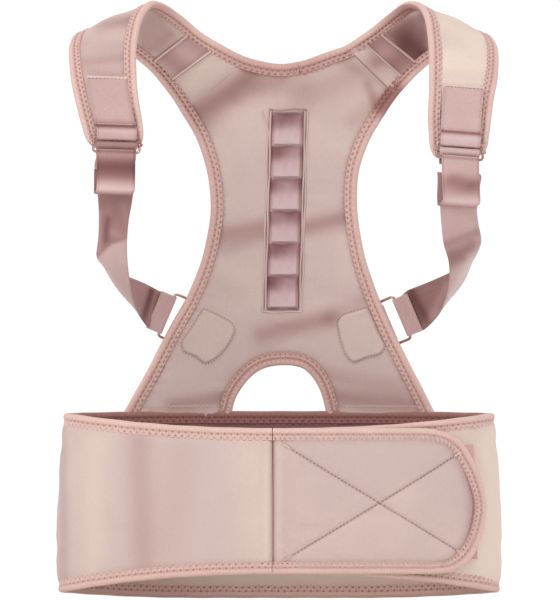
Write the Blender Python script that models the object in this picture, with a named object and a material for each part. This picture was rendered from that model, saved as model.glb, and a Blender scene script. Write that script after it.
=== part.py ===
"""Posture back brace: back panel with spine magnets, two shoulder yokes with adjustable
webbing straps, and a hook-and-loop waist belt.

Metres, +Z up. The wearer faces -Y, so the belt closes at -Y and the back panel is at +Y.
All pattern dimensions below are in millimetres. "left" is the -X side and "right" the +X
side, as seen from in front of the wearer.
"""

import math

import bmesh
import bpy
import numpy as np

MM = 0.001
SIDES = ("left", "right")
OUTWARD_X = {"left": -1, "right": 1}      # which way along X each side points

# ---------------------------------------------------------------- driving dimensions (mm)
# Shared by several pieces
BINDING = 9.8                # width of the rolled bindings
BINDING_THICK = 6.0
BINDING_CHAMFER = 1.4
GAP = 0.6                    # clearance between neighbouring pieces
SEAM_GAP = 1.1               # clearance on each side of a folding seam
SEWN_GAP = 0.3               # clearance under a piece that is sewn flat onto another
PANEL_THICK = 4.0

# Waist belt
BELT_HALF_WIDTH = 177.6      # outer half width of the waist loop at its widest level
BELT_HALF_DEPTH = 80.0       # outer half depth of the waist loop
BELT_POWER = 2.6             # superellipse power of the waist loop in plan
BELT_THICK = 4.4
BELT_WIDEST_Z = 35.0
BELT_FLARE = 5.6             # how much narrower each side is BELT_FLARE_RISE above the widest level
BELT_FLARE_RISE = 110.0
BELT_LOWER_TUCK = 2.4        # how much narrower each side is at z = 0
BELT_BACK_HEIGHT = 149.6
BELT_SIDE_BOTTOM = 4.4
BELT_SIDE_TOP = 148.0
BELT_FRONT_BOTTOM = 19.0     # the front of the belt is narrower than the back
BELT_FRONT_TOP = 136.0
BELT_LEVEL_SHARE = 0.36      # the back edges stay level over this share of the half width
BELT_ROWS = 6
SIDE_FOLD_GAP = 1.0          # half clearance at the belt's side folds
WING_AXIS_OUT = 0.6          # the wings' axes lie this far outside the waist loop
WING_AXIS_Z = 75.0
WING_RIGHT_END_X = 22.0      # the right wing ends here, under the tab

# Closure tab
WING_SEAM_X = -5.6           # where the closure tab is sewn to the left wing
TAB_SEAM_GAP = 0.8           # clearance on each side of that seam
TAB_STANDOFF = 4.4           # the closure tab lies this far outside the right wing
TAB_CLIMB = 22.0             # length over which it rises to that level
TAB_THICK = 4.0
TAB_BINDING_THICK = BINDING_THICK - 1.2
TAB_BINDING_CHAMFER = 1.2
PAD_THICK = 1.6
HOOK_PAD_START_X = 62
HOOK_PAD_MARGIN = 3          # between the tab's binding and the hook pad
LOOP_PAD_X = (40, 158)
LOOP_PAD_Z = (32, 122)

# Back panel and spine
ARCH_BINDING = 9.2
PANEL_BOTTOM_Z = BELT_BACK_HEIGHT + GAP + 0.1
MAGNET_R = 8.5
MAGNET_THICK = 2.4
MAGNET_INSET = 0.4           # from the tape's outer face to the magnet
SPINE_TAPE_WIDTH = 24.0
SPINE_TAPE_THICK = MAGNET_THICK + 2.2
SPINE_TOP, SPINE_BOTTOM = 388.0, 231.6
SPINE_X = 7.2                # the spine tape's centre line at its top
SPINE_LEAN = -4.4            # how far it leans sideways towards its bottom
POCKETS = 6

# Webbing and sliders
WEBBING = 32.0               # width of the strap webbing
WEBBING_THICK = 1.2
WIRE = 2.0                   # slider bars
WIRE_GAP = 0.3               # between a bar and the webbing round it
BAR_TOP_TO_MIDDLE = 6.2
BAR_MIDDLE_TO_BOTTOM = 6.0
SLIDER_OVERHANG = 2.6        # from the webbing's edge to the frame's centre line
SLIDER_CORNER = 2.6

# Lower rings and their anchor tabs
RING_WIRE = 2.2
RING_WIDTH = 14.2            # between the two long bars
RING_HALF_LENGTH = 18.2
RING_CORNER = 3.0
ANCHOR_CLEAR = 1.1           # between the panel's bindings and the anchor tab
ANCHOR_TAB_WIDTH = WEBBING - 1.5
STRAP_PATCH_THICK = 1.0

# ---------------------------------------------------------------- pattern outlines
# Outer edges of the back section, (x, z).
NECK_EDGE = [(-24, 432), (-13, 429.2), (2, 427.4), (16, 429.2), (28.8, 433.2), (41, 437.6),
             (52.8, 441.6)]
ARMHOLE_EDGE = {
    "left": [(-77.6, 387.2), (-67.2, 369.6), (-60.4, 352), (-56, 331), (-54.6, 314), (-57, 292),
             (-63, 267.5), (-73.6, 241.6), (-88, 216), (-104.5, 184), (-123.5, 150)],
    "right": [(94.4, 400.8), (81.6, 382), (71.2, 363.2), (64.8, 345), (62.4, 324), (63.8, 300),
              (70, 269), (79.5, 241.5), (93.6, 209.6), (109.6, 178), (123.8, 150)],
}
ARCH_EDGE = [(-45.8, 150.4), (-40.4, 168), (-30, 184), (-15, 194), (3.2, 197), (20, 194),
             (34, 184), (44, 168), (48.6, 150.4)]

# The back panel's middle surface along the spine, (z, y).
SPINE_PROFILE = [(149, 77.8), (190, 76.6), (235, 76.4), (320, 79), (390, 77), (425, 71.6),
                 (445, 66.5)]

# Rounded D end of the closure tab from its upper edge to its lower edge, (x, z).
TAB_END = [(112, 136), (123.5, 135.2), (136, 132.2), (147, 125), (155, 112), (161, 94),
           (163.6, 76), (161.4, 56), (156, 39), (147, 27), (136, 21), (124, 19.3), (112, 19)]

# Shoulder yokes: matching stations (x, y, z) along the neck-side edge and the arm-side edge,
# from the seam on the back panel, over the shoulder, to the front end. The y of each first
# station is replaced by the panel's own depth there.
YOKE_NECK_EDGE = {
    "left": [(-24, 69, 432), (-42, 65, 440.4), (-62.4, 55, 452.8), (-77.6, 41, 465.6),
             (-88.8, 25, 473.2), (-95.4, 13, 475.9), (-100.5, 2, 475.6), (-107, -12, 468.4),
             (-111.8, -27, 455), (-114.2, -41, 434), (-113.6, -50, 412), (-111.4, -55.6, 393),
             (-108.4, -58.4, 374), (-109.8, -59.6, 357)],
    "right": [(52.8, 66, 441.6), (61.6, 62.4, 447.2), (72.8, 54.4, 455.2), (84, 42, 464),
              (92.8, 27, 471.2), (98.4, 15, 474.8), (104.4, 3, 476), (111.4, -11, 473.4),
              (116, -25, 465.6), (119, -38, 450), (120, -48, 430), (120, -54.4, 409),
              (119.2, -58.2, 382), (121.4, -59.8, 350.5)],
}
YOKE_ARM_EDGE = {
    "left": [(-77.6, 70.5, 387.2), (-89.6, 67, 405.6), (-102.4, 60, 420.8), (-119.2, 50, 435.2),
             (-136.8, 36, 444.8), (-152.8, 19, 449.8), (-163.2, 3, 448.4), (-167.4, -13, 441),
             (-168, -29, 429.6), (-166.4, -43, 414.4), (-164, -50.6, 401.6),
             (-160.8, -55.6, 388.8), (-157, -58.4, 374.6), (-153.2, -59.6, 359)],
    "right": [(94.4, 68, 400.8), (101.6, 65.2, 409.6), (112.8, 60, 420.8), (127.2, 50, 432.8),
              (143.2, 36.4, 441.6), (157.6, 20, 447.4), (168, 4, 447.8), (173.8, -12, 441),
              (175.4, -27, 431.6), (175.2, -41, 417.6), (172.8, -50.4, 404),
              (170.4, -55.4, 388.8), (168.4, -58.4, 372), (166, -59.8, 352.5)],
}
YOKE_SPANS = 13              # intervals between yoke stations

# Strap on each yoke: the yoke station of the webbing patch's top edge, the strap's place across
# the yoke (0 arm side, 1 neck side), the drop from the patch's top edge to the slider's top bar,
# the reach of the adjuster strap and of its loose end below the slider, and the curvature with
# which the adjuster strap bends in towards the body.
SHOULDER_STRAP = {
    "left": dict(station=9.6, across=0.545, bar_drop=48.5, strap_reach=44, tail_reach=34.0,
                 bend=0.0046),
    "right": dict(station=10.5, across=0.4675, bar_drop=45.0, strap_reach=42, tail_reach=39.0,
                  bend=0.0044),
}

# Lower straps: the edge that ends at the bottom of the ring, then the edge that ends at its
# top, (x, y, z).
LOWER_STRAP = {
    "left": ([(-118.4, -6, 254), (-117, 8, 242), (-113.5, 28, 229), (-108.6, 50, 220.5),
              (-103.6, 68, 216.2)],
             [(-140.5, 12, 270), (-133.5, 26, 262.5), (-123, 44, 256.5), (-108, 62, 250.5),
              (-92.4, 72.5, 246.2)]),
    "right": ([(135.4, -6, 253), (134, 8, 240), (129.5, 28, 227), (122, 50, 219),
               (114.4, 68, 214.4)],
              [(157.5, 12, 270), (150.5, 26, 262), (139, 44, 257), (121.6, 62, 251),
               (103.4, 72.5, 244.6)]),
}

# Middle of each ring's inner bar (x, z), the one over the panel's edge.
RING_CENTRE = {"left": (-79.8, 222.4), "right": (88.6, 220.4)}
RING_LEAN = (0.391, -0.920)  # direction of the long bars: outwards along X, and z

# Corners (x, z) of the patches on the body side of the anchor tabs, in order round each patch.
STRAP_PATCH = {
    "left": [(-60.8, 232), (-34.4, 216), (-56.8, 187.2), (-78.4, 200.8)],
    "right": [(71.2, 232.8), (46.4, 222.4), (56, 188.8), (84.8, 196.8)],
}


# ---------------------------------------------------------------- scene and materials
for old in list(bpy.data.objects):
    bpy.data.objects.remove(old, do_unlink=True)

MATERIALS = {}
BODIES = {}                  # body name -> (its empty, its origin in pattern millimetres)


def material(name, color, roughness, metallic=0.0):
    mat = bpy.data.materials.new(name)
    mat.use_nodes = True
    node = mat.node_tree.nodes["Principled BSDF"]
    node.inputs["Base Color"].default_value = (*color, 1.0)
    node.inputs["Roughness"].default_value = roughness
    node.inputs["Metallic"].default_value = metallic
    mat.diffuse_color = (*color, 1.0)
    MATERIALS[name] = mat


material("body_fabric", color=(0.68, 0.52, 0.49), roughness=0.85)
material("binding_fabric", color=(0.70, 0.45, 0.40), roughness=0.9)
material("webbing", color=(0.55, 0.38, 0.38), roughness=0.55)
material("spine_tape", color=(0.52, 0.36, 0.36), roughness=0.7)
material("loop_fabric", color=(0.70, 0.50, 0.47), roughness=0.95)
material("hook_plastic", color=(0.62, 0.45, 0.42), roughness=0.5)
material("metal", color=(0.60, 0.42, 0.40), roughness=0.3, metallic=1.0)
material("magnet", color=(0.12, 0.12, 0.13), roughness=0.45, metallic=0.6)


def body(name, parent=None, at=(0, 0, 0)):
    """An empty that carries the pieces of one rigid body; its origin is on the body's axis."""
    empty = bpy.data.objects.new(name + "_axis", None)
    bpy.context.scene.collection.objects.link(empty)
    at = np.array(at, float)
    if parent:
        parent_empty, parent_at = BODIES[parent]
        empty.parent = parent_empty
        empty.location = (at - parent_at) * MM
    else:
        empty.location = at * MM
    BODIES[name] = (empty, at)


def place(name, bm, mat, owner, smooth=40):
    """Turns a bmesh in pattern millimetres into the named object of a body."""
    bmesh.ops.recalc_face_normals(bm, faces=bm.faces[:])
    if bm.calc_volume(signed=True) < 0:
        bmesh.ops.reverse_faces(bm, faces=bm.faces[:])
    empty, at = BODIES[owner]
    for vert in bm.verts:
        vert.co = [(vert.co[i] - at[i]) * MM for i in range(3)]
    mesh = bpy.data.meshes.new(name)
    bm.to_mesh(mesh)
    bm.free()
    mesh.shade_smooth()
    mesh.set_sharp_from_angle(angle=math.radians(smooth))
    mesh.materials.append(MATERIALS[mat])
    obj = bpy.data.objects.new(name, mesh)
    bpy.context.scene.collection.objects.link(obj)
    obj.parent = empty
    return obj


def add_boolean(target, name, operation, helper):
    """Joins or cuts the target with a helper object, which is kept out of renders."""
    helper.hide_render = True
    helper.display_type = "WIRE"
    modifier = target.modifiers.new(name, "BOOLEAN")
    modifier.operation = operation
    modifier.solver = "EXACT"
    modifier.object = helper


# ---------------------------------------------------------------- curves and plane lines
def unit(vector):
    vector = np.asarray(vector, float)
    return vector / np.linalg.norm(vector, axis=-1, keepdims=True)


def run_lengths(points):
    """Distance along a polyline at each of its points."""
    return np.r_[0, np.cumsum(np.linalg.norm(np.diff(points, axis=0), axis=1))]


def spline(points, knots=None):
    """A smooth curve of t in 0..1 through three or more points, chord-length spaced unless
    knots are given."""
    points = np.array(points, float)
    knots = run_lengths(points) if knots is None else np.array(knots, float)
    knots = knots / knots[-1]
    slope = np.diff(points, axis=0) / np.diff(knots)[:, None]
    before, after = np.diff(knots)[:-1, None], np.diff(knots)[1:, None]
    tangent = np.empty_like(points)
    tangent[1:-1] = (slope[:-1] * after + slope[1:] * before) / (before + after)
    tangent[0] = 2 * slope[0] - tangent[1]
    tangent[-1] = 2 * slope[-1] - tangent[-2]

    def curve(t):
        t = np.atleast_1d(np.asarray(t, float))
        i = np.clip(np.searchsorted(knots, t, side="right") - 1, 0, len(knots) - 2)
        span = knots[i + 1] - knots[i]
        u = ((t - knots[i]) / span)[:, None]
        span = span[:, None]
        return ((2 * u**3 - 3 * u**2 + 1) * points[i]
                + (u**3 - 2 * u**2 + u) * span * tangent[i]
                + (3 * u**2 - 2 * u**3) * points[i + 1]
                + (u**3 - u**2) * span * tangent[i + 1])

    return curve


def sampled(points, count):
    return spline(points)(np.linspace(0, 1, count))


def resample(line, count):
    """Points spaced evenly along a polyline."""
    line = np.array(line, float)
    run = run_lengths(line)
    wanted = np.linspace(0, run[-1], count)
    return np.stack([np.interp(wanted, run, line[:, k]) for k in range(line.shape[1])], 1)


def offset2d(line, distance):
    """A plane polyline moved sideways; positive is to the left of its direction."""
    line = np.array(line, float)
    tangent = unit(np.gradient(line, axis=0))
    return line + distance * np.stack([-tangent[:, 1], tangent[:, 0]], 1)


def clip2d(line, point, direction, side):
    """The part of a plane polyline on one side (+1 left, -1 right) of a straight line, cut
    exactly there."""
    line, point, along = np.array(line, float), np.array(point, float), unit(direction)
    height = side * ((line[:, 1] - point[1]) * along[0] - (line[:, 0] - point[0]) * along[1])
    kept = []
    for i in range(len(line)):
        if i and (height[i] > 0) != (height[i - 1] > 0):
            share = height[i - 1] / (height[i - 1] - height[i])
            kept.append(line[i - 1] + share * (line[i] - line[i - 1]))
        if height[i] > 0:
            kept.append(line[i])
    return np.array(kept)


def x_at_height(line, z):
    order = np.argsort(line[:, 1])
    return float(np.interp(z, line[order, 1], line[order, 0]))


# ---------------------------------------------------------------- solid builders
def sheet_between(name, low, high, mat, owner):
    """A closed sheet between two matching grids of points (rows, columns, 3)."""
    bm = bmesh.new()
    rows, cols = low.shape[:2]
    lo = [[bm.verts.new(low[i, j]) for j in range(cols)] for i in range(rows)]
    hi = [[bm.verts.new(high[i, j]) for j in range(cols)] for i in range(rows)]
    add_skins(bm, lo, hi)
    rim = ([(0, j) for j in range(cols - 1)]
           + [(i, cols - 1) for i in range(rows - 1)]
           + [(rows - 1, j) for j in range(cols - 1, 0, -1)]
           + [(i, 0) for i in range(rows - 1, 0, -1)])
    for k, (i, j) in enumerate(rim):
        i2, j2 = rim[(k + 1) % len(rim)]
        bm.faces.new((lo[i][j], hi[i][j], hi[i2][j2], lo[i2][j2]))
    return place(name, bm, mat, owner)


def add_skins(bm, lo, hi):
    """The two broad faces of a sheet, from its rows of lower and upper vertices."""
    for i in range(len(lo) - 1):
        for j in range(len(lo[i]) - 1):
            bm.faces.new((lo[i][j], lo[i][j + 1], lo[i + 1][j + 1], lo[i + 1][j]))
            bm.faces.new((hi[i][j], hi[i + 1][j], hi[i + 1][j + 1], hi[i][j + 1]))


def add_tube(bm, rings, closed):
    """Quads between successive rings of vertices, with end caps unless closed on itself."""
    following = rings[1:] + rings[:1] if closed else rings[1:]
    for ring, after in zip(rings, following):
        sides = len(ring)
        for k in range(sides):
            bm.faces.new((ring[k], ring[(k + 1) % sides], after[(k + 1) % sides], after[k]))
    if not closed:
        bm.faces.new(rings[0])
        bm.faces.new(rings[-1][::-1])


def rim_between(name, outer, inner, normals, owner, thick=BINDING_THICK,
                chamfer=BINDING_CHAMFER):
    """A binding with chamfered edges that fills the strip between two matching edge lines."""
    bm = bmesh.new()
    half = thick / 2
    rings = []
    for o, i, n in zip(outer, inner, normals):
        inset = unit(i - o) * chamfer
        rings.append([bm.verts.new(p) for p in (
            o + inset + n * half, o + n * (half - chamfer),
            o - n * (half - chamfer), o + inset - n * half,
            i - inset - n * half, i - n * (half - chamfer),
            i + n * (half - chamfer), i - inset + n * half)])
    add_tube(bm, rings, closed=False)
    place(name, bm, "binding_fabric", owner)


def ribbon(name, centres, across, width, owner):
    """Flat webbing swept along centres; across holds the width direction at each of them."""
    centres, across = np.array(centres, float), unit(np.array(across, float))
    tangent = unit(np.gradient(centres, axis=0))
    rise = unit(np.cross(tangent, across)) * WEBBING_THICK / 2
    reach = across * width / 2
    low = np.stack([centres - reach - rise, centres + reach - rise], 1)
    high = np.stack([centres - reach + rise, centres + reach + rise], 1)
    sheet_between(name, low, high, "webbing", owner)


WIRE_SIDES = 8
WIRE_ANGLES = [2 * math.pi * q / WIRE_SIDES for q in range(WIRE_SIDES)]
CROSS_BAR_SHARE = 0.97       # a cross bar's radius as a share of its frame's
CROSS_BAR_GUIDE = (0.31, 0.9, 0.22)     # fixes where a cross bar's facets start


def wire_ring(bm, centre, radius, side, other):
    return [bm.verts.new(centre + radius * (math.cos(a) * side + math.sin(a) * other))
            for a in WIRE_ANGLES]


def wire_loop(name, points, radius, owner):
    """Round wire along a closed plane loop of points."""
    bm = bmesh.new()
    tangent = unit(np.roll(points, -1, 0) - np.roll(points, 1, 0))
    plane = unit(np.linalg.svd(points - points.mean(0))[2][2])
    side = unit(np.cross(tangent, plane))
    rings = [wire_ring(bm, points[k], radius, side[k], plane) for k in range(len(points))]
    add_tube(bm, rings, closed=True)
    return place(name, bm, "metal", owner, smooth=60)


def join_cross_bar(frame, start, end, radius, owner):
    """Joins a straight bar onto a wire frame by a Boolean union."""
    bm = bmesh.new()
    along = unit(end - start)
    side = unit(np.cross(along, CROSS_BAR_GUIDE))
    other = np.cross(along, side)
    rings = [wire_ring(bm, p, CROSS_BAR_SHARE * radius, side, other) for p in (start, end)]
    add_tube(bm, rings, closed=False)
    bar = place(f"{frame.name}_bar_0", bm, "metal", owner)
    add_boolean(frame, "bar_0", "UNION", bar)


def rounded_rectangle(centre, half_u, half_v, u, v, corner, steps=4):
    """Points of a rounded rectangle in the plane of directions u and v."""
    points = []
    for sign_u, sign_v, start in ((1, 1, 0), (-1, 1, 90), (-1, -1, 180), (1, -1, 270)):
        for k in range(steps + 1):
            a = math.radians(start + 90 * k / steps)
            points.append(centre + u * (sign_u * (half_u - corner) + corner * math.cos(a))
                          + v * (sign_v * (half_v - corner) + corner * math.sin(a)))
    return np.array(points)


# ---------------------------------------------------------------- the waist loop's surface
# Plan of the loop for half width and half depth 1, and the true distance s round it:
# s = 0 at the front centre, growing towards +X.
LOOP_STEPS = 4000
loop_angle = np.linspace(0, 2 * math.pi, LOOP_STEPS + 1)
loop_x = np.sign(np.sin(loop_angle)) * np.abs(np.sin(loop_angle)) ** (2 / BELT_POWER)
loop_y = -np.sign(np.cos(loop_angle)) * np.abs(np.cos(loop_angle)) ** (2 / BELT_POWER)
loop_run = run_lengths(np.stack([loop_x * BELT_HALF_WIDTH, loop_y * BELT_HALF_DEPTH], 1))
LOOP = loop_run[-1]
SIDE_S = LOOP / 4


def loop_s(x):
    """The front loop position at a given x."""
    quarter = LOOP_STEPS // 4
    s = np.interp(abs(x) / BELT_HALF_WIDTH, loop_x[:quarter], loop_run[:quarter])
    return math.copysign(float(s), x)


def half_width(z):
    up = np.clip((z - BELT_WIDEST_Z) / BELT_FLARE_RISE, 0, None)
    down = np.clip((BELT_WIDEST_Z - z) / BELT_WIDEST_Z, 0, None)
    return BELT_HALF_WIDTH - BELT_FLARE * up**2 - BELT_LOWER_TUCK * down**2


def belt_point(s, z, out):
    """A point of the waist loop, out mm outside its outer face (negative is inside)."""
    s, z = np.broadcast_arrays(np.asarray(s, float), np.asarray(z, float))
    plan_x = np.interp(np.mod(s, LOOP), loop_run, loop_x)
    plan_y = np.interp(np.mod(s, LOOP), loop_run, loop_y)
    normal_x = np.sign(plan_x) * np.abs(plan_x) ** (BELT_POWER - 1) / BELT_HALF_WIDTH
    normal_y = np.sign(plan_y) * np.abs(plan_y) ** (BELT_POWER - 1) / BELT_HALF_DEPTH
    size = np.hypot(normal_x, normal_y)
    return np.stack([plan_x * half_width(z) + out * normal_x / size,
                     plan_y * BELT_HALF_DEPTH + out * normal_y / size, z], -1)


def belt_normal(s):
    return unit(belt_point(s, BELT_WIDEST_Z, 1.0) - belt_point(s, BELT_WIDEST_Z, 0.0))


def belt_edges(s):
    """(bottom, top) heights of the belt at loop position s."""
    p = belt_point(s, BELT_WIDEST_Z, 0.0)
    side = np.abs(p[..., 0]) / BELT_HALF_WIDTH
    at_front = p[..., 1] < 0
    front = np.clip(1 - side**2.2, 0, 1)
    back = np.clip((side - BELT_LEVEL_SHARE) / (1 - BELT_LEVEL_SHARE), 0, 1) ** 2
    bottom = np.where(at_front,
                      BELT_SIDE_BOTTOM + (BELT_FRONT_BOTTOM - BELT_SIDE_BOTTOM) * front,
                      BELT_SIDE_BOTTOM * back)
    top = np.where(at_front,
                   BELT_SIDE_TOP - (BELT_SIDE_TOP - BELT_FRONT_TOP) * front,
                   BELT_BACK_HEIGHT - (BELT_BACK_HEIGHT - BELT_SIDE_TOP) * back)
    return bottom, top


# ---------------------------------------------------------------- the back panel's surface
SURROUND_GAIN = 0.35         # how much more strongly the panel curves at its top
SURROUND_BASE_Z = 150
SURROUND_RISE = 250
spine_samples = sampled(SPINE_PROFILE, 200)


def panel_depth(x, z):
    """The y of the back panel's middle surface."""
    x, z = np.asarray(x, float), np.asarray(z, float)
    centre = np.interp(z, spine_samples[:, 0], spine_samples[:, 1])
    rise = np.clip((z - SURROUND_BASE_Z) / SURROUND_RISE, 0, 1)
    side = np.clip(np.abs(x) / BELT_HALF_WIDTH, 0, 0.999)
    around = BELT_HALF_DEPTH * (1 - (1 - side**BELT_POWER) ** (1 / BELT_POWER))
    return centre - around * (1 + SURROUND_GAIN * rise)


def panel_point(line, out=0.0):
    """Pattern points (x, z) on the panel; out is away from the wearer."""
    line = np.asarray(line, float)
    return np.stack([line[..., 0], panel_depth(line[..., 0], line[..., 1]) + out,
                     line[..., 1]], -1)


# ---------------------------------------------------------------- seams, bodies and their axes
def seam_ends(side):
    """Neck-side and arm-side ends of the seam between the back panel and a yoke."""
    ends = np.array([YOKE_NECK_EDGE[side][0], YOKE_ARM_EDGE[side][0]], float)
    ends[:, 1] = panel_depth(ends[:, 0], ends[:, 2])
    return ends


SEAMS = {side: seam_ends(side) for side in SIDES}
seam_s = loop_s(WING_SEAM_X)

body("back")
for side in SIDES:
    axis_x = OUTWARD_X[side] * (BELT_HALF_WIDTH + WING_AXIS_OUT)
    body(f"wing_{side}", "back", (axis_x, 0, WING_AXIS_Z))
    body(f"shoulder_{side}", "back", (SEAMS[side][0] + SEAMS[side][1]) / 2)
body("closure_tab", "wing_left",
     belt_point(seam_s, (BELT_FRONT_BOTTOM + BELT_FRONT_TOP) / 2, 0.0))


# ---------------------------------------------------------------- back panel's pattern lines
def panel_seam_line(side):
    """A point and the direction of the panel's edge beside a yoke seam, in (x, z)."""
    neck_end, arm_end = SEAMS[side][:, [0, 2]]
    along = unit(arm_end - neck_end)
    inward = np.array([-along[1], along[0]])
    if inward[1] > 0:
        inward = -inward
    return neck_end + inward * SEAM_GAP, along


SEAM_LINES = {side: panel_seam_line(side) for side in SIDES}


def beside_seams(line):
    """Keeps the part of a pattern line that lies on the panel's side of both seams."""
    for side in SIDES:
        point, along = SEAM_LINES[side]
        line = clip2d(line, point, along, -OUTWARD_X[side])
    return line


def above_belt(line):
    return clip2d(line, (0, PANEL_BOTTOM_Z), (1, 0), 1)


def armhole_line(side, distance):
    """An armhole edge with a short lead-in above it, moved towards the panel and trimmed."""
    line = sampled(ARMHOLE_EDGE[side], 161)
    lead = line[0] + (line[0] - line[4]) * np.array([[3.0], [2.0], [1.0]])
    moved = offset2d(np.vstack([lead, line]), -OUTWARD_X[side] * distance)
    return above_belt(beside_seams(moved))


neck = sampled(NECK_EDGE, 121)
# Lengthened at both ends so that its offsets still reach the seams.
long_neck = np.vstack([2 * neck[0] - neck[8], neck, 2 * neck[-1] - neck[-9]])
sheet_neck = beside_seams(offset2d(long_neck, -BINDING - GAP))
sheet_sides = {side: armhole_line(side, BINDING + GAP) for side in SIDES}
arch = sampled(ARCH_EDGE, 121)
sheet_arch = above_belt(offset2d(arch, GAP))


# ---------------------------------------------------------------- back panel's bindings
def rim_on_panel(name, outer, inner, stations):
    outer = panel_point(resample(outer, stations))
    inner = panel_point(resample(inner, stations))
    along = np.gradient((outer + inner) / 2, axis=0)
    rim_between(name, outer, inner, unit(np.cross(along, inner - outer)), "back")


rim_on_panel("neck_binding", beside_seams(neck), beside_seams(offset2d(long_neck, -BINDING)), 15)
for side in SIDES:
    rim_on_panel(f"armhole_binding_{side}", armhole_line(side, 0), armhole_line(side, BINDING), 30)
rim_on_panel("arch_binding", above_belt(arch), above_belt(offset2d(arch, -ARCH_BINDING)), 25)

# ---------------------------------------------------------------- back panel's sheet
PANEL_COLUMNS = 13
PANEL_ROWS = 22              # above the arch
SEAM_ROWS = 5                # of these, the rows along the yoke seams
NECK_FADE_ROWS = 7.0         # the neck's curve fades out over this many rows
LEG_LEVELS = (0.97, 0.9, 0.78, 0.6, 0.42, 0.2, 0.0)    # heights of leg rows, as arch shares

arch_peak = int(sheet_arch[:, 1].argmax())
arch_mid_x, arch_top = (float(c) for c in sheet_arch[arch_peak])


def panel_side(edge, neck_end):
    """The sheet's side above the arch: along the seam, then down the armhole."""
    down = np.vstack([edge[edge[:, 1] > arch_top], [x_at_height(edge, arch_top), arch_top]])
    return np.vstack([resample([neck_end, edge[0]], SEAM_ROWS),
                      resample(down, PANEL_ROWS - SEAM_ROWS + 1)[1:]])


def panel_upper_grid():
    """Rows of (x, z) from the neck down to the top of the arch."""
    left = panel_side(sheet_sides["left"], sheet_neck[0])
    right = panel_side(sheet_sides["right"], sheet_neck[-1])
    share = np.linspace(0, 1, PANEL_COLUMNS)
    chords = left[:, None] + (right - left)[:, None] * share[None, :, None]
    neck_curve = resample(sheet_neck, PANEL_COLUMNS) - chords[0]
    fade = np.array([max(0.0, 1 - k / NECK_FADE_ROWS) ** 1.6 for k in range(PANEL_ROWS)])
    grid = chords + fade[:, None, None] * neck_curve
    grid[-1, :, 0] = np.interp(share, [0, 0.5, 1], [left[-1, 0], arch_mid_x, right[-1, 0]])
    return grid


def panel_leg_rows(side):
    """Rows of (x, z), each running towards +X, of the leg beside the arch."""
    halves = {"left": sheet_arch[:arch_peak + 1], "right": sheet_arch[arch_peak:][::-1]}
    rows = []
    for level in LEG_LEVELS:
        z = PANEL_BOTTOM_Z + (arch_top - PANEL_BOTTOM_Z) * level
        ends = [x_at_height(sheet_sides[side], z), x_at_height(halves[side], z)]
        start, end = ends if side == "left" else ends[::-1]
        rows.append([(start + (end - start) * share, z)
                     for share in np.linspace(0, 1, (PANEL_COLUMNS + 1) // 2)])
    return rows


def build_back_panel():
    """The upper grid and two legs that part at the top of the arch."""
    bm = bmesh.new()
    middle = PANEL_COLUMNS // 2
    upper_grid = panel_upper_grid()
    leg_rows = [panel_leg_rows(side) for side in SIDES]
    layers = []
    for out in (-PANEL_THICK / 2, PANEL_THICK / 2):
        upper, left, right = [[[bm.verts.new(panel_point(p, out)) for p in row] for row in rows]
                              for rows in (upper_grid, *leg_rows)]
        left.insert(0, upper[-1][:middle + 1])
        right.insert(0, upper[-1][middle:])
        layers.append((upper, left, right))
    for lo, hi in zip(*layers):
        add_skins(bm, lo, hi)

    outlines = []
    for upper, left, right in layers:
        loop = upper[0] + [row[-1] for row in upper[1:]] + [row[-1] for row in right[1:]]
        loop += right[-1][::-1][1:] + [row[0] for row in right[::-1][1:]]
        loop += [row[-1] for row in left[1:]] + left[-1][::-1][1:]
        loop += [row[0] for row in left[::-1][1:]] + [row[0] for row in upper[::-1][1:]]
        outlines.append(loop)
    lo, hi = outlines
    for k in range(len(lo) - 1):
        bm.faces.new((lo[k], hi[k], hi[k + 1], lo[k + 1]))
    place("back_panel", bm, "body_fabric", "back")


build_back_panel()

# ---------------------------------------------------------------- spine pocket tape and magnets
TAPE_ROWS, TAPE_COLUMNS = 25, 5
TAPE_OUTER = -(PANEL_THICK / 2 + SEWN_GAP)       # the tape's face towards the panel
POCKET_CLEAR = 1.0                               # round each magnet
POCKET_CUT_OVER = 1.5                            # the cutter starts this far outside the tape
POCKET_DEPTH = MAGNET_THICK + 0.8


def spine_x(z):
    return SPINE_X + SPINE_LEAN * (SPINE_TOP - z) / (SPINE_TOP - SPINE_BOTTOM)


def build_spine_tape():
    tape = np.array([[(spine_x(z) + SPINE_TAPE_WIDTH * (share - 0.5), z)
                      for share in np.linspace(0, 1, TAPE_COLUMNS)]
                     for z in np.linspace(SPINE_TOP, SPINE_BOTTOM, TAPE_ROWS)])
    return sheet_between("spine_pocket_tape", panel_point(tape, TAPE_OUTER - SPINE_TAPE_THICK),
                         panel_point(tape, TAPE_OUTER), "spine_tape", "back")


def spine_disc(name, radius, z, start, end):
    """A disc on the spine line, its axis along Y, between two levels from the panel's middle."""
    x = spine_x(z)
    y = float(panel_depth(x, z)) + (start + end) / 2
    bm = bmesh.new()
    bmesh.ops.create_cone(bm, cap_ends=True, segments=16, radius1=radius, radius2=radius,
                          depth=start - end)
    for vert in bm.verts:
        vert.co = (x + vert.co[0], y + vert.co[2], z + vert.co[1])
    return place(name, bm, "magnet", "back")


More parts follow.
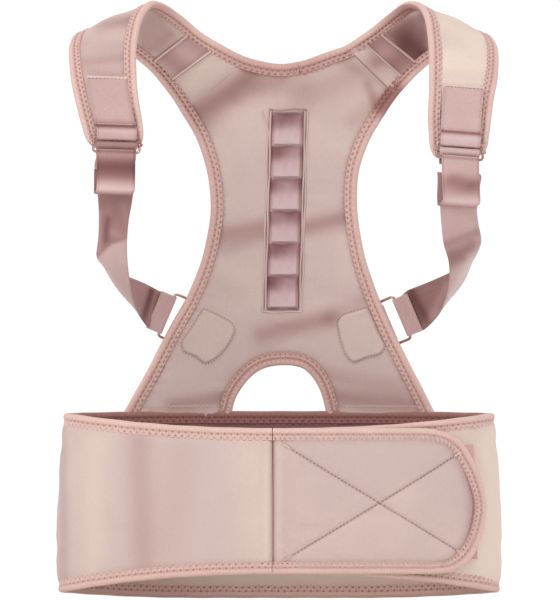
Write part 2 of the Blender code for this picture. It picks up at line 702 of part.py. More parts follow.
spine_tape = build_spine_tape()
pocket_pitch = (SPINE_TOP - SPINE_BOTTOM) / POCKETS
for k in range(POCKETS):
    pocket_z = SPINE_TOP - pocket_pitch * (k + 0.5)
    cut_name = f"pocket_cut_{k + 1}"
    cutter = spine_disc(cut_name, MAGNET_R + POCKET_CLEAR, pocket_z,
                        TAPE_OUTER + POCKET_CUT_OVER, TAPE_OUTER - POCKET_DEPTH)
    add_boolean(spine_tape, cut_name, "DIFFERENCE", cutter)
    magnet_top = TAPE_OUTER - MAGNET_INSET
    spine_disc(f"magnet_{k + 1}", MAGNET_R, pocket_z, magnet_top, magnet_top - MAGNET_THICK)


# ---------------------------------------------------------------- waist belt
def belt_part(name, start, end, owner, columns, binding_prefix):
    """A stretch of belt with its top and bottom bindings."""
    s = np.linspace(start, end, columns)
    bottom, top = belt_edges(s)
    low_z, high_z = bottom + BINDING + GAP, top - BINDING - GAP
    z = low_z[:, None] + (high_z - low_z)[:, None] * np.linspace(0, 1, BELT_ROWS)[None, :]
    grid_s = np.repeat(s[:, None], BELT_ROWS, 1)
    sheet_between(name, belt_point(grid_s, z, -BELT_THICK), belt_point(grid_s, z, 0),
                  "body_fabric", owner)
    middle = -BELT_THICK / 2
    for edge_name, edge, inset in (("top", top, -BINDING), ("bottom", bottom, BINDING)):
        rim_between(f"{binding_prefix}_{edge_name}_binding", belt_point(s, edge, middle),
                    belt_point(s, edge + inset, middle), belt_normal(s), owner)


belt_part("belt_back", SIDE_S + SIDE_FOLD_GAP, LOOP - SIDE_S - SIDE_FOLD_GAP, "back",
          columns=33, binding_prefix="belt_back")
belt_part("belt_wing_left", -SIDE_S + SIDE_FOLD_GAP, seam_s - TAB_SEAM_GAP, "wing_left",
          columns=17, binding_prefix="wing_left")
belt_part("belt_wing_right", loop_s(WING_RIGHT_END_X), SIDE_S - SIDE_FOLD_GAP, "wing_right",
          columns=16, binding_prefix="wing_right")

# ---------------------------------------------------------------- closure tab and its pads
# Outlines of the tab are lines of (s, z).
tab_start = seam_s + TAB_SEAM_GAP


def make_tab_outline():
    """Straight upper and lower edges, joined by the rounded D end."""
    end = np.array([(loop_s(x), z) for x, z in TAB_END])
    seam_low, seam_high = belt_edges(seam_s)
    run = np.linspace(tab_start, end[0, 0], 14)
    upper_z = np.interp(run, [tab_start, end[0, 0]], [seam_high, end[0, 1]])
    back_run = run[::-1]
    lower_z = np.interp(back_run, [tab_start, end[-1, 0]], [seam_low, end[-1, 1]])
    return np.vstack([np.stack([run, upper_z], 1)[:-1], sampled(end, 61),
                      np.stack([back_run, lower_z], 1)[1:]])


tab_outline = make_tab_outline()


def tab_inset(distance):
    """The tab's outline moved inwards, its two ends kept on the seam."""
    moved = offset2d(tab_outline, -distance)
    moved[0, 0] = moved[-1, 0] = tab_start
    return moved


def tab_point(line, out=0.0):
    """Points (s, z) on the tab's middle surface, which climbs over the right wing's end."""
    s, z = line[..., 0], line[..., 1]
    climb = np.clip((s - tab_start) / TAB_CLIMB, 0, 1)
    rise = -TAB_THICK / 2 + (TAB_STANDOFF + TAB_THICK) * climb * climb * (3 - 2 * climb)
    return belt_point(s, z, rise + out)


def d_grid(outline, start, rows, cols):
    """Rows of (s, z) from start to the D-shaped outline, closest together near its corners."""
    low, high = outline[:, 1].min() + 0.02, outline[:, 1].max() - 0.02
    tip = int(outline[:, 0].argmax())
    grid = []
    for k in range(rows):
        z = (low + high) / 2 - (high - low) / 2 * math.cos(math.pi * k / (rows - 1))
        part = outline[:tip + 1] if z > outline[tip, 1] else outline[tip:][::-1]
        # The end by the seam would give the same heights a second time.
        part = part[part[:, 0] > start + 30]
        end = x_at_height(part, z)
        grid.append([(start + (end - start) * share, z) for share in np.linspace(0, 1, cols)])
    return np.array(grid)


def build_tab():
    outer, inner = resample(tab_outline, 40), resample(tab_inset(BINDING), 40)
    rim_between("tab_binding", tab_point(outer), tab_point(inner),
                belt_normal((outer[:, 0] + inner[:, 0]) / 2), "closure_tab",
                thick=TAB_BINDING_THICK, chamfer=TAB_BINDING_CHAMFER)
    grid = d_grid(tab_inset(BINDING + GAP), tab_start, 13, 15)
    sheet_between("closure_tab", tab_point(grid, -TAB_THICK / 2), tab_point(grid, TAB_THICK / 2),
                  "body_fabric", "closure_tab")


def build_pad(name, grid, inner_level, mat, owner):
    """A pad over a grid of (s, z), its inner face at a level outside the belt."""
    s, z = grid[..., 0], grid[..., 1]
    sheet_between(name, belt_point(s, z, inner_level), belt_point(s, z, inner_level + PAD_THICK),
                  mat, owner)


build_tab()
hook_grid = d_grid(tab_inset(BINDING + HOOK_PAD_MARGIN), loop_s(HOOK_PAD_START_X), 9, 9)
build_pad("hook_pad", hook_grid, TAB_STANDOFF - SEWN_GAP - PAD_THICK, "hook_plastic",
          "closure_tab")
loop_start, loop_end = (loop_s(x) for x in LOOP_PAD_X)
loop_grid = np.stack(np.meshgrid(np.linspace(loop_start, loop_end, 12),
                                 np.linspace(*LOOP_PAD_Z, 6), indexing="ij"), -1)
build_pad("loop_pad", loop_grid, SEWN_GAP, "loop_fabric", "wing_right")

# ---------------------------------------------------------------- shoulder yokes
YOKE_COLUMNS = 6
YOKE_FIRST_SPAN = 20.0       # about the length in mm of a yoke's first span
YOKE_SEAM_MARGIN = 1.15      # allowance on the seam clearance
CROSS_TAPE_STATIONS = (1.3, 2.3)
CROSS_TAPE_MARGIN = 1.5      # between the bindings and the cross tape
CROSS_TAPE_LEVELS = (1.6, 0.4)          # its two faces, from the yoke's body-side face


def yoke_surface(side):
    """(t, share) -> point; t runs from the seam to the front end, share from the arm side to
    the neck side."""
    neck_edge = np.array(YOKE_NECK_EDGE[side], float)
    arm_edge = np.array(YOKE_ARM_EDGE[side], float)
    neck_edge[0], arm_edge[0] = SEAMS[side]
    knots = np.arange(YOKE_SPANS + 1) / YOKE_SPANS
    neck_curve, arm_curve = spline(neck_edge, knots), spline(arm_edge, knots)

    def surface(t, share):
        t, share = np.broadcast_arrays(np.asarray(t, float), np.asarray(share, float))
        arm, neck_side = arm_curve(t.ravel()), neck_curve(t.ravel())
        points = arm + (neck_side - arm) * share.ravel()[:, None]
        return points.reshape(*t.shape, 3)

    return surface


def outward(surface, t, share):
    """Unit normal of a yoke, away from the wearer."""
    step_t, step_share = 0.004, 0.02
    share = np.asarray(share)
    along = (surface(np.clip(t + step_t, 0, 1), share)
             - surface(np.clip(t - step_t, 0, 1), share))
    across = surface(t, share + step_share) - surface(t, share - step_share)
    normal = unit(np.cross(along, across))
    # At the front end the outward normal points towards -Y.
    end = surface(1.0, 0.5)
    end_normal = np.cross(end - surface(0.97, 0.5), surface(1.0, 0.6) - end)
    return normal if end_normal[1] < 0 else -normal


def rung_length(surface, t):
    """Width of the yoke from edge to edge."""
    return np.linalg.norm(surface(t, 1.0) - surface(t, 0.0), axis=-1)


def yoke_sheet(name, surface, t, margin, columns, levels, mat, owner):
    """A sheet margin mm inside both yoke edges, between two levels from its middle surface."""
    edge = (margin / rung_length(surface, t))[:, None]
    share = edge + (1 - 2 * edge) * np.linspace(0, 1, columns)[None, :]
    grid_t = np.repeat(t[:, None], columns, 1)
    middle, normal = surface(grid_t, share), outward(surface, grid_t, share)
    low, high = levels
    sheet_between(name, middle + normal * low, middle + normal * high, mat, owner)


def build_yoke(side, surface):
    owner = f"shoulder_{side}"
    seam_t = SEAM_GAP / YOKE_FIRST_SPAN / YOKE_SPANS * YOKE_SEAM_MARGIN
    t = np.r_[seam_t, np.linspace(0.05, 1, 20)]
    yoke_sheet(f"yoke_{side}", surface, t, BINDING + GAP, YOKE_COLUMNS,
               (-PANEL_THICK / 2, PANEL_THICK / 2), "body_fabric", owner)
    edge = BINDING / rung_length(surface, t)
    # The outer binding is on the arm side, the inner one on the neck side.
    for kind, rim, inset in (("outer", np.zeros_like(t), edge),
                             ("inner", np.ones_like(t), 1 - edge)):
        rim_between(f"yoke_{kind}_binding_{side}", surface(t, rim), surface(t, inset),
                    outward(surface, t, (rim + inset) / 2), owner)
    # Cross tape on the body side
    tape_t = np.linspace(*CROSS_TAPE_STATIONS, 4) / YOKE_SPANS
    yoke_sheet(f"yoke_cross_tape_{side}", surface, tape_t, BINDING + CROSS_TAPE_MARGIN, 5,
               [-(PANEL_THICK / 2 + level) for level in CROSS_TAPE_LEVELS], "webbing", owner)


class StrapFrame:
    """The line of a shoulder strap down its yoke, and the directions at the slider's top bar."""

    STRAIGHT_FROM = 8        # the line is carried on straight from this far above the top bar

    def __init__(self, surface, station, share, bar_drop):
        self.surface, self.share, self.bar = surface, share, bar_drop
        self.line_t = np.linspace(station / YOKE_SPANS, 1, 60)
        self.line = surface(self.line_t, share)
        self.run = run_lengths(self.line)
        bar_t = np.interp(bar_drop, self.run, self.line_t)
        self.across = unit(surface(bar_t, 0.9) - surface(bar_t, 0.1))
        normal = outward(surface, bar_t, share)
        self.normal = unit(normal - self.across * (normal @ self.across))
        self.down = unit(np.cross(self.across, self.normal))
        if self.down[2] > 0:
            self.down = -self.down

    def on_line(self, drop):
        return np.array([np.interp(drop, self.run, self.line[:, k]) for k in range(3)])

    def point(self, drop, level):
        """A point drop mm down from the patch's top edge, level mm outside the yoke's middle."""
        if drop < self.bar - self.STRAIGHT_FROM:
            t = float(np.interp(drop, self.run, self.line_t))
            return self.on_line(drop) + outward(self.surface, t, self.share) * level
        return self.on_line(self.bar) + self.down * (drop - self.bar) + self.normal * level


frames = {}
for side in SIDES:
    strap = SHOULDER_STRAP[side]
    yoke = yoke_surface(side)
    build_yoke(side, yoke)
    frames[side] = StrapFrame(yoke, strap["station"], strap["across"], strap["bar_drop"])

# ---------------------------------------------------------------- shoulder straps and sliders
# Paths are lists of (drop, level): mm down from the patch's top edge, mm outside the yoke's
# middle surface. Levels are those of the webbing's middle.
HALF_WEBBING = WEBBING_THICK / 2
WRAP = WIRE / 2 + WIRE_GAP + HALF_WEBBING               # radius of webbing round a slider bar
MAIN_LEVEL = BINDING_THICK / 2 + 0.5 + HALF_WEBBING     # the strap passes over the bindings
BAR_LEVEL = MAIN_LEVEL + WEBBING_THICK + WIRE_GAP + WRAP
UPPER_LEVEL = BAR_LEVEL - WRAP + WEBBING_THICK + 0.35   # the patch's layer over its own end
TAIL_FRONT, TAIL_BACK = BAR_LEVEL + 1.6, BAR_LEVEL - 0.9
TAIL_AXIS_DROP = 3           # the loose end's axis below the slider's bottom bar


def arc(centre, radius, start, end, steps):
    """Points on a circle; 0 degrees points down the strap and 90 outwards."""
    drop, level = centre
    return [(drop + radius * math.cos(math.radians(a)), level + radius * math.sin(math.radians(a)))
            for a in np.linspace(start, end, steps)]


def strip(name, path, frame, owner):
    ribbon(name, [frame.point(drop, level) for drop, level in path],
           [frame.across] * len(path), WEBBING, owner)


def patch_path(bar):
    """The visible layer, the turn round the slider's top bar, and the layer under it."""
    path = [(drop, MAIN_LEVEL + 0.95) for drop in np.linspace(0, bar - 26, 4)]
    path += [(bar - 23, MAIN_LEVEL + 1.3), (bar - 20, UPPER_LEVEL - 0.6),
             (bar - 17, UPPER_LEVEL), (bar - 12, UPPER_LEVEL), (bar - 8, UPPER_LEVEL + 0.7),
             (bar - 5, BAR_LEVEL + WRAP - 0.5), (bar - 2.4, BAR_LEVEL + WRAP - 0.05)]
    path += arc((bar, BAR_LEVEL), WRAP, 90, -90, 9)
    path += [(bar - above, BAR_LEVEL - WRAP) for above in (4, 9, 15)]
    return path


def adjuster_path(middle, bottom, reach, bend):
    """Up behind the slider, over its middle bar, and back behind its bottom bar."""
    straight_from = bottom + 6
    path = [(drop, MAIN_LEVEL - bend * (drop - straight_from) ** 2)
            for drop in np.linspace(bottom + reach, straight_from, 9)]
    path += [(bottom, MAIN_LEVEL), (middle + 3.4, MAIN_LEVEL + 0.35)]
    path += arc((middle, BAR_LEVEL), WRAP, -90 + 8, -270, 9)[1:]
    # Slope of the straight run that crosses from one bar's outside to the next one's inside
    tilt = math.degrees(math.asin(2 * WRAP / BAR_MIDDLE_TO_BOTTOM))
    path += arc((middle, BAR_LEVEL), WRAP, 90, 90 - tilt, 4)[1:]
    path += arc((bottom, BAR_LEVEL), WRAP, 270 - tilt, 268, 4)
    return path


def tail_path(bottom, reach):
    """The loose end: hangs in front of the strap and is folded back up behind itself."""
    path = [(bottom + 2.6, BAR_LEVEL - 0.6), (bottom + 5.0, BAR_LEVEL + 0.4),
            (bottom + 10, TAIL_FRONT - 0.3)]
    path += [(drop, TAIL_FRONT) for drop in np.linspace(bottom + 16, bottom + reach - 2, 5)]
    path += arc((bottom + reach - 1.2, (TAIL_FRONT + TAIL_BACK) / 2),
                (TAIL_FRONT - TAIL_BACK) / 2, 80, -80, 7)
    path += [(drop, TAIL_BACK) for drop in np.linspace(bottom + reach - 4, bottom + 14, 5)]
    return path


def build_slider(side, frame, top_centre):
    """Three bars in one rounded frame."""
    name = f"slider_{side}"
    height = BAR_TOP_TO_MIDDLE + BAR_MIDDLE_TO_BOTTOM
    half_length = WEBBING / 2 + SLIDER_OVERHANG
    outline = rounded_rectangle(top_centre + frame.down * height / 2, half_length, height / 2,
                                frame.across, frame.down, SLIDER_CORNER)
    slider = wire_loop(name, outline, WIRE / 2, name)
    centre = top_centre + frame.down * BAR_TOP_TO_MIDDLE
    reach = frame.across * half_length
    join_cross_bar(slider, centre - reach, centre + reach, WIRE / 2, name)


for side in SIDES:
    frame, strap = frames[side], SHOULDER_STRAP[side]
    middle_bar = frame.bar + BAR_TOP_TO_MIDDLE
    bottom_bar = middle_bar + BAR_MIDDLE_TO_BOTTOM
    top_centre = frame.point(frame.bar, BAR_LEVEL)
    body(f"slider_{side}", f"shoulder_{side}", top_centre)
    body(f"tail_{side}", f"slider_{side}",
         frame.point(bottom_bar + TAIL_AXIS_DROP, BAR_LEVEL))

    strip(f"yoke_webbing_patch_{side}", patch_path(frame.bar), frame, f"shoulder_{side}")
    build_slider(side, frame, top_centre)
    strip(f"adjuster_strap_{side}",
          adjuster_path(middle_bar, bottom_bar, strap["strap_reach"], strap["bend"]),
          frame, f"slider_{side}")
    strip(f"tail_loop_{side}", tail_path(bottom_bar, strap["tail_reach"]), frame,
          f"tail_{side}")

# ---------------------------------------------------------------- lower rings and straps
RING_WRAP = RING_WIRE / 2 + WIRE_GAP + HALF_WEBBING     # radius of webbing round a ring bar
RING_LEVEL = BINDING_THICK / 2 + ANCHOR_CLEAR + WEBBING_THICK + WIRE_GAP + RING_WIRE / 2
RING_AWAY = (0.92, -0.30, -0.391)       # from inner to outer bar, x outwards, before squaring
LOWER_STRAP_STATIONS = 14
STRAP_RUN_START = 11.0       # the twisting run starts this far from the ring's outer bar


def square_to(vector, along):
    return unit(vector - along * (vector @ along))


def half_turn(centre, trailing, face):
    """Points round a ring bar, from its face side to the other, on the side away from trailing."""
    return [centre - trailing * RING_WRAP * math.cos(a) + face * RING_WRAP * math.sin(a)
            for a in np.radians(np.linspace(90, -90, 9))]


def build_anchor_tab(side, inner, along, away):
    """Lies on the outside of the panel and turns round the ring's inner bar."""
    inside = square_to(unit(np.array([-away[0], 0.0, -away[2]])), along)

    def layer(distance, level):
        x, _, z = inner + inside * distance
        return np.array([x, float(panel_depth(x, z)) + level, z])

    path = [layer(distance, RING_LEVEL + RING_WRAP - 0.2) for distance in (22, 17, 12, 7)]
    path += half_turn(inner, inside, np.array([0, 1.0, 0]))
    path += [layer(distance, RING_LEVEL - RING_WRAP) for distance in (4, 9, 13)]
    ribbon(f"strap_anchor_tab_{side}", path, [along] * len(path), ANCHOR_TAB_WIDTH, "back")


def build_strap_patch(side):
    """Reinforcement patch on the body side, over the anchor tab's stitching."""
    first, second, third, fourth = np.array(STRAP_PATCH[side], float)
    steps = np.linspace(0, 1, 5)
    patch = np.array([[first + (second - first) * q
                       + ((fourth - first) + (third - second - fourth + first) * q) * r
                       for q in steps] for r in steps])
    outer = -PANEL_THICK / 2 - SEWN_GAP
    sheet_between(f"strap_patch_{side}", panel_point(patch, outer - STRAP_PATCH_THICK),
                  panel_point(patch, outer), "body_fabric", "back")


def build_lower_strap(side, outer_bar, up, away, face):
    """The ruled, twisting run, then the sewn fold round the ring's outer bar."""
    low, high = (sampled(edge, LOWER_STRAP_STATIONS) for edge in LOWER_STRAP[side])
    centres, across = (low + high) / 2, unit(high - low)
    clear = (centres - outer_bar) @ away > STRAP_RUN_START
    main_layer = outer_bar + face * RING_WRAP
    short_layer = outer_bar - face * RING_WRAP
    fold = [main_layer + away * 6.0 + face * 0.2, main_layer + away * 2.5]
    fold += half_turn(outer_bar, away, face)
    fold += [short_layer + away * distance for distance in (2.5, 5.5, 8.5)]
    ribbon(f"lower_strap_{side}", [*centres[clear], *fold], [*across[clear]] + [up] * len(fold),
           WEBBING, f"ring_{side}")


for side in SIDES:
    ring_x, ring_z = RING_CENTRE[side]
    ring_y = float(panel_depth(ring_x, ring_z)) + RING_LEVEL
    inner_bar = np.array([ring_x, ring_y, ring_z])
    lean_x, lean_z = RING_LEAN
    bar_along = np.array([OUTWARD_X[side] * lean_x, 0.0, lean_z])
    away_x, away_y, away_z = RING_AWAY
    ring_away = square_to(unit([OUTWARD_X[side] * away_x, away_y, away_z]), bar_along)
    ring_face = unit(np.cross(bar_along, ring_away))
    if ring_face[1] < 0:
        ring_face = -ring_face

    body(f"ring_{side}", "back", inner_bar)
    wire_loop(f"lower_ring_{side}",
              rounded_rectangle(inner_bar + ring_away * RING_WIDTH / 2, RING_HALF_LENGTH,
                                RING_WIDTH / 2, bar_along, ring_away, RING_CORNER),
              RING_WIRE / 2, f"ring_{side}")
    build_anchor_tab(side, inner_bar, bar_along, ring_away)
    build_strap_patch(side)
    build_lower_strap(side, inner_bar + ring_away * RING_WIDTH, -bar_along, ring_away, ring_face)


# ---------------------------------------------------------------- origin
def centre_on_ground():
    """Moves the whole brace so that the world origin is at its bottom centre."""
    bpy.context.view_layer.update()
    graph = bpy.context.evaluated_depsgraph_get()
    extremes = []
    for obj in bpy.context.scene.objects:
        if obj.type == "MESH" and not obj.hide_render:
            mesh = obj.evaluated_get(graph).to_mesh()
            world = np.array(obj.matrix_world)
            points = np.array([v.co for v in mesh.vertices]) @ world[:3, :3].T + world[:3, 3]
            extremes += [points.min(0), points.max(0)]
    low, high = np.min(extremes, axis=0), np.max(extremes, axis=0)
    BODIES["back"][0].location = (-(low[0] + high[0]) / 2, -(low[1] + high[1]) / 2, -low[2])
    bpy.context.view_layer.update()


centre_on_ground()
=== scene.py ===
"""Looks of a posture back brace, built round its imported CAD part.

A waist belt stands on the floor, a back panel rises from it at the rear, and two padded yokes
go over the shoulders to sliders and straps that run back to rings low on the panel.

Geometry is in millimetres in the brace's own pattern frame: x across, -y to the front, where the
wearer faces, z up. to_metres() turns it into the scene's frame. "left" is the -X side.
"""

import math
from types import SimpleNamespace

import bmesh
import bpy
import numpy as np
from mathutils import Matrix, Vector


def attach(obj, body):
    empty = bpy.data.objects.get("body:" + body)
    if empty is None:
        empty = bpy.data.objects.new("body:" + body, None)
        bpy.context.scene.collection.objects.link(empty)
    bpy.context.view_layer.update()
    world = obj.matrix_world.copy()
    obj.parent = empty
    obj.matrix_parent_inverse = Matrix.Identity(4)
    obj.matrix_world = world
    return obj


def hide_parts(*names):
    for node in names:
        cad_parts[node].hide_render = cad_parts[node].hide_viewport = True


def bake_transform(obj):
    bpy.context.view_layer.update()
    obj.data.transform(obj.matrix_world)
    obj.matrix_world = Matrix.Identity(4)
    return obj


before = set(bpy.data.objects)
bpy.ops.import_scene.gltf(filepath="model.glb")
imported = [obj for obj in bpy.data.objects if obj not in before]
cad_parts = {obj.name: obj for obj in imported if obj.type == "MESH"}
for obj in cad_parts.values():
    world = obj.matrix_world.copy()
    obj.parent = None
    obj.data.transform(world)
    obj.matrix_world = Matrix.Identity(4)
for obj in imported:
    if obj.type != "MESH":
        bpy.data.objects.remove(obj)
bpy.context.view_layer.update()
scene = bpy.context.scene
RNG = np.random.default_rng(7)

MM = 0.001
SHIFT_Y = 0.0026259     # metres from the pattern frame to the scene's
SIDES = ("left", "right")
UP = np.array([0, 0, 1.0])
REAR = np.array([0, 1.0, 0])
FORWARD = np.array([0, -1.0, 0])    # on the back panel this points at the wearer

# ================================================================ dimensions (mm)
BELT_HALF_WIDTH = 177.6
BELT_HALF_DEPTH = 80.0
BELT_POWER = 2.6            # superellipse exponent of the belt's loop
BELT_THICK = 4.4
BELT_FLARE = 5.6
BELT_BACK_HEIGHT = 149.6
BELT_FRONT_BOTTOM, BELT_FRONT_TOP = 19.0, 136.0
BELT_SIDE_BOTTOM, BELT_SIDE_TOP = 4.4, 148.0
BELT_PITCH = 5.2            # coverstitch pitch on the belt
BINDING, BINDING_THICK = 9.8, 6.0
PITCH = 4.4                 # coverstitch pitch elsewhere
PANEL_THICK = 4.0
WEBBING, WEBBING_THICK = 32.0, 1.2
TAB_STANDOFF, TAB_THICK = 4.4, 4.0
PAD_THICK = 1.6
WING_SEAM_X, WING_RIGHT_END_X = -5.6, 22.0
WING_TURN = 16.0            # how far the wings' fabric runs on behind the side folds
SPINE_TOP, SPINE_BOTTOM = 388.0, 231.6
SPINE_X, SPINE_LEAN = 7.2, -4.4
POCKETS = 6
POCKET_PITCH = (SPINE_TOP - SPINE_BOTTOM) / POCKETS
WIRE, RING_WIRE = 2.0, 2.2
RING_WIDTH, RING_LONG = 14.2, 17.6
BAR_TOP_TO_MIDDLE = 6.2
BAR_MIDDLE_TO_BOTTOM = 6.0

# How far the webbing's layers lie from the surface under them
GAP = 0.3
HALF_WEB = WEBBING_THICK / 2
WRAP = WIRE / 2 + GAP + HALF_WEB
RING_WRAP = RING_WIRE / 2 + GAP + HALF_WEB
MAIN_LEVEL = BINDING_THICK / 2 + 0.5 + HALF_WEB
BAR_LEVEL = MAIN_LEVEL + WEBBING_THICK + GAP + WRAP
RING_LEVEL = BINDING_THICK / 2 + 1.1 + WEBBING_THICK + GAP + RING_WIRE / 2

# Panel edges as (x, z)
NECK_EDGE = [(-24, 432), (-13, 429.2), (2, 427.4), (16, 429.2), (28.8, 433.2), (41, 437.6),
             (52.8, 441.6)]
ARMHOLE_EDGE = {
    "left": [(-77.6, 387.2), (-67.2, 369.6), (-60.4, 352), (-56, 331), (-54.6, 314), (-57, 292),
             (-63, 267.5), (-73.6, 241.6), (-88, 216), (-104.5, 184), (-123.5, 150)],
    "right": [(94.4, 400.8), (81.6, 382), (71.2, 363.2), (64.8, 345), (62.4, 324), (63.8, 300),
              (70, 269), (79.5, 241.5), (93.6, 209.6), (109.6, 178), (123.8, 150)],
}
ARCH_EDGE = [(-37.6, 148), (-36.8, 152), (-35.2, 158.4), (-32, 164.8), (-27.6, 171.2),
             (-21.6, 177.6), (-13.6, 182.96), (-4.8, 185.6), (4, 186.24), (12, 185.6),
             (19.2, 183.52), (26, 177.6), (30.4, 171.2), (33.2, 164.8), (35.2, 158.4),
             (36.8, 152), (37.6, 148)]

# Yoke edges as (x, y, z), from the panel's seam over the shoulder to the front end
YOKE_INNER = {
    "left": [(-24, 69, 432), (-42, 65, 440.4), (-62.4, 55, 452.8), (-77.6, 41, 465.6),
             (-88.8, 25, 473.2), (-95.4, 13, 475.9), (-100.5, 2, 475.6), (-107, -12, 468.4),
             (-111.8, -27, 455), (-114.2, -41, 434), (-113.6, -50, 412), (-111.4, -55.6, 393),
             (-108.4, -58.4, 374), (-109.8, -59.6, 357)],
    "right": [(52.8, 66, 441.6), (61.6, 62.4, 447.2), (72.8, 54.4, 455.2), (84, 42, 464),
              (92.8, 27, 471.2), (98.4, 15, 474.8), (104.4, 3, 476), (111.4, -11, 473.4),
              (116, -25, 465.6), (119, -38, 450), (120, -48, 430), (120, -54.4, 409),
              (119.2, -58.2, 382), (121.4, -59.8, 350.5)],
}
YOKE_OUTER = {
    "left": [(-77.6, 70.5, 387.2), (-89.6, 67, 405.6), (-102.4, 60, 420.8), (-119.2, 50, 435.2),
             (-136.8, 36, 444.8), (-152.8, 19, 449.8), (-163.2, 3, 448.4), (-167.4, -13, 441),
             (-168, -29, 429.6), (-166.4, -43, 414.4), (-164, -50.6, 401.6), (-160.8, -55.6, 388.8),
             (-157, -58.4, 374.6), (-153.2, -59.6, 359)],
    "right": [(94.4, 68, 400.8), (101.6, 65.2, 409.6), (112.8, 60, 420.8), (127.2, 50, 432.8),
              (143.2, 36.4, 441.6), (157.6, 20, 447.4), (168, 4, 447.8), (173.8, -12, 441),
              (175.4, -27, 431.6), (175.2, -41, 417.6), (172.8, -50.4, 404), (170.4, -55.4, 388.8),
              (168.4, -58.4, 372), (166, -59.8, 352.5)],
}
YOKE_STEPS = 13

# The free end of the closure tab as (x, z)
TAB_END = [(112, 136), (123.5, 135.2), (136, 132.2), (147, 125), (155, 112), (161, 94),
           (163.6, 76), (161.4, 56), (156, 39), (147, 27), (136, 21), (124, 19.3), (112, 19)]


# ================================================================ curves and arrays
def to_metres(points):
    """Pattern millimetres to the scene's frame in metres."""
    out = np.array(points, float) * MM
    out[..., 1] += SHIFT_Y
    return out


def unit(vectors):
    vectors = np.asarray(vectors, float)
    return vectors / np.maximum(np.linalg.norm(vectors, axis=-1, keepdims=True), 1e-12)


def lengths(line):
    """Distance along a polyline at each of its points."""
    return np.r_[0, np.cumsum(np.linalg.norm(np.diff(np.asarray(line, float), axis=0), axis=1))]


def sample(where, knots, rows):
    """Rows given at knots, interpolated at other positions."""
    return np.stack([np.interp(where, knots, column) for column in np.asarray(rows, float).T], -1)


def spline(points, knots=None):
    """A smooth curve through points: a function of t in 0..1, spaced by chord unless given knots."""
    points = np.array(points, float)
    knots = lengths(points) if knots is None else np.array(knots, float)
    knots = knots / knots[-1]
    slope = np.diff(points, axis=0) / np.diff(knots)[:, None]
    tangent = np.empty_like(points)
    before, after = np.diff(knots)[:-1, None], np.diff(knots)[1:, None]
    tangent[1:-1] = (slope[:-1] * after + slope[1:] * before) / (before + after)
    tangent[0] = 2 * slope[0] - tangent[1]
    tangent[-1] = 2 * slope[-1] - tangent[-2]

    def at(t):
        t = np.atleast_1d(np.asarray(t, float))
        i = np.clip(np.searchsorted(knots, t, side="right") - 1, 0, len(knots) - 2)
        span = (knots[i + 1] - knots[i])[:, None]
        r = (t - knots[i])[:, None] / span
        return ((2 * r**3 - 3 * r**2 + 1) * points[i] + (r**3 - 2 * r**2 + r) * span * tangent[i]
                + (3 * r**2 - 2 * r**3) * points[i + 1] + (r**3 - r**2) * span * tangent[i + 1])

    return at


def curve(points, count):
    return spline(points)(np.linspace(0, 1, count))


def even(line, step=None, count=None):
    """Points spaced evenly along a polyline."""
    knots = lengths(line)
    count = count or max(3, int(round(knots[-1] / step)) + 1)
    return sample(np.linspace(0, knots[-1], count), knots, line)


def smoothed(rows, reach):
    """A moving average along the first direction, ends kept."""
    padded = np.concatenate([2 * rows[:1] - rows[reach:0:-1], rows,
                             2 * rows[-1:] - rows[-2:-reach - 2:-1]])
    kernel = np.ones(2 * reach + 1) / (2 * reach + 1)
    return np.stack([np.convolve(column, kernel, "valid") for column in padded.T], 1)


def smoothstep(start, end, x):
    t = np.clip((np.asarray(x, float) - start) / (end - start), 0, 1)
    return t * t * (3 - 2 * t)


def bell(x, centre, width):
    return np.exp(-((x - centre) / width) ** 2)


def fade(distance, start, reach):
    """1 up to start, then an exponential fall."""
    return np.exp(-np.clip(distance - start, 0, None) / reach)


def arc(centre, radius, start, end, count):
    """Points on a circle between two angles in degrees."""
    return [(centre[0] + radius * math.cos(math.radians(a)),
             centre[1] + radius * math.sin(math.radians(a))) for a in np.linspace(start, end, count)]


def grid_normals(points):
    return unit(np.cross(np.gradient(points, axis=1), np.gradient(points, axis=0)))


def pointing(normals, direction):
    """Normals turned so that they agree with a direction."""
    sign = np.sign((normals * direction).sum(-1, keepdims=True))
    return normals * np.where(sign == 0, 1, sign)


def near_polyline(points, line):
    """(distance, position along) of the nearest point of a plane polyline to each point."""
    flat = points.reshape(-1, 2)
    knots = lengths(line)
    best, where = np.full(len(flat), 1e9), np.zeros(len(flat))
    for k in range(len(line) - 1):
        start, step = line[k], line[k + 1] - line[k]
        t = np.clip((flat - start) @ step / (step @ step + 1e-12), 0, 1)
        distance = np.hypot(*(flat - start - t[:, None] * step).T)
        closer = distance < best
        best[closer] = distance[closer]
        where[closer] = knots[k] + t[closer] * (knots[k + 1] - knots[k])
    return best.reshape(points.shape[:-1]), where.reshape(points.shape[:-1])


def inside_polygon(points, polygon):
    x, y = points[..., 0], points[..., 1]
    result = np.zeros(x.shape, bool)
    for (x0, y0), (x1, y1) in zip(polygon, np.roll(polygon, -1, 0)):
        crosses = (y0 > y) != (y1 > y)
        with np.errstate(divide="ignore", invalid="ignore"):
            cut = (x1 - x0) * (y - y0) / (y1 - y0 + 1e-15) + x0
        result ^= crosses & (x < cut)
    return result


def bands(x, z, table):
    """Soft streaks in the front view; each row is (x0, z0, x1, z1, width, amount)."""
    total = np.zeros(np.shape(x))
    for x0, z0, x1, z1, width, amount in table:
        dx, dz = x1 - x0, z1 - z0
        t = np.clip(((x - x0) * dx + (z - z0) * dz) / (dx * dx + dz * dz), 0, 1)
        apart = (x - x0 - t * dx) ** 2 + (z - z0 - t * dz) ** 2
        total += amount * np.exp(-apart / width**2)
    return total


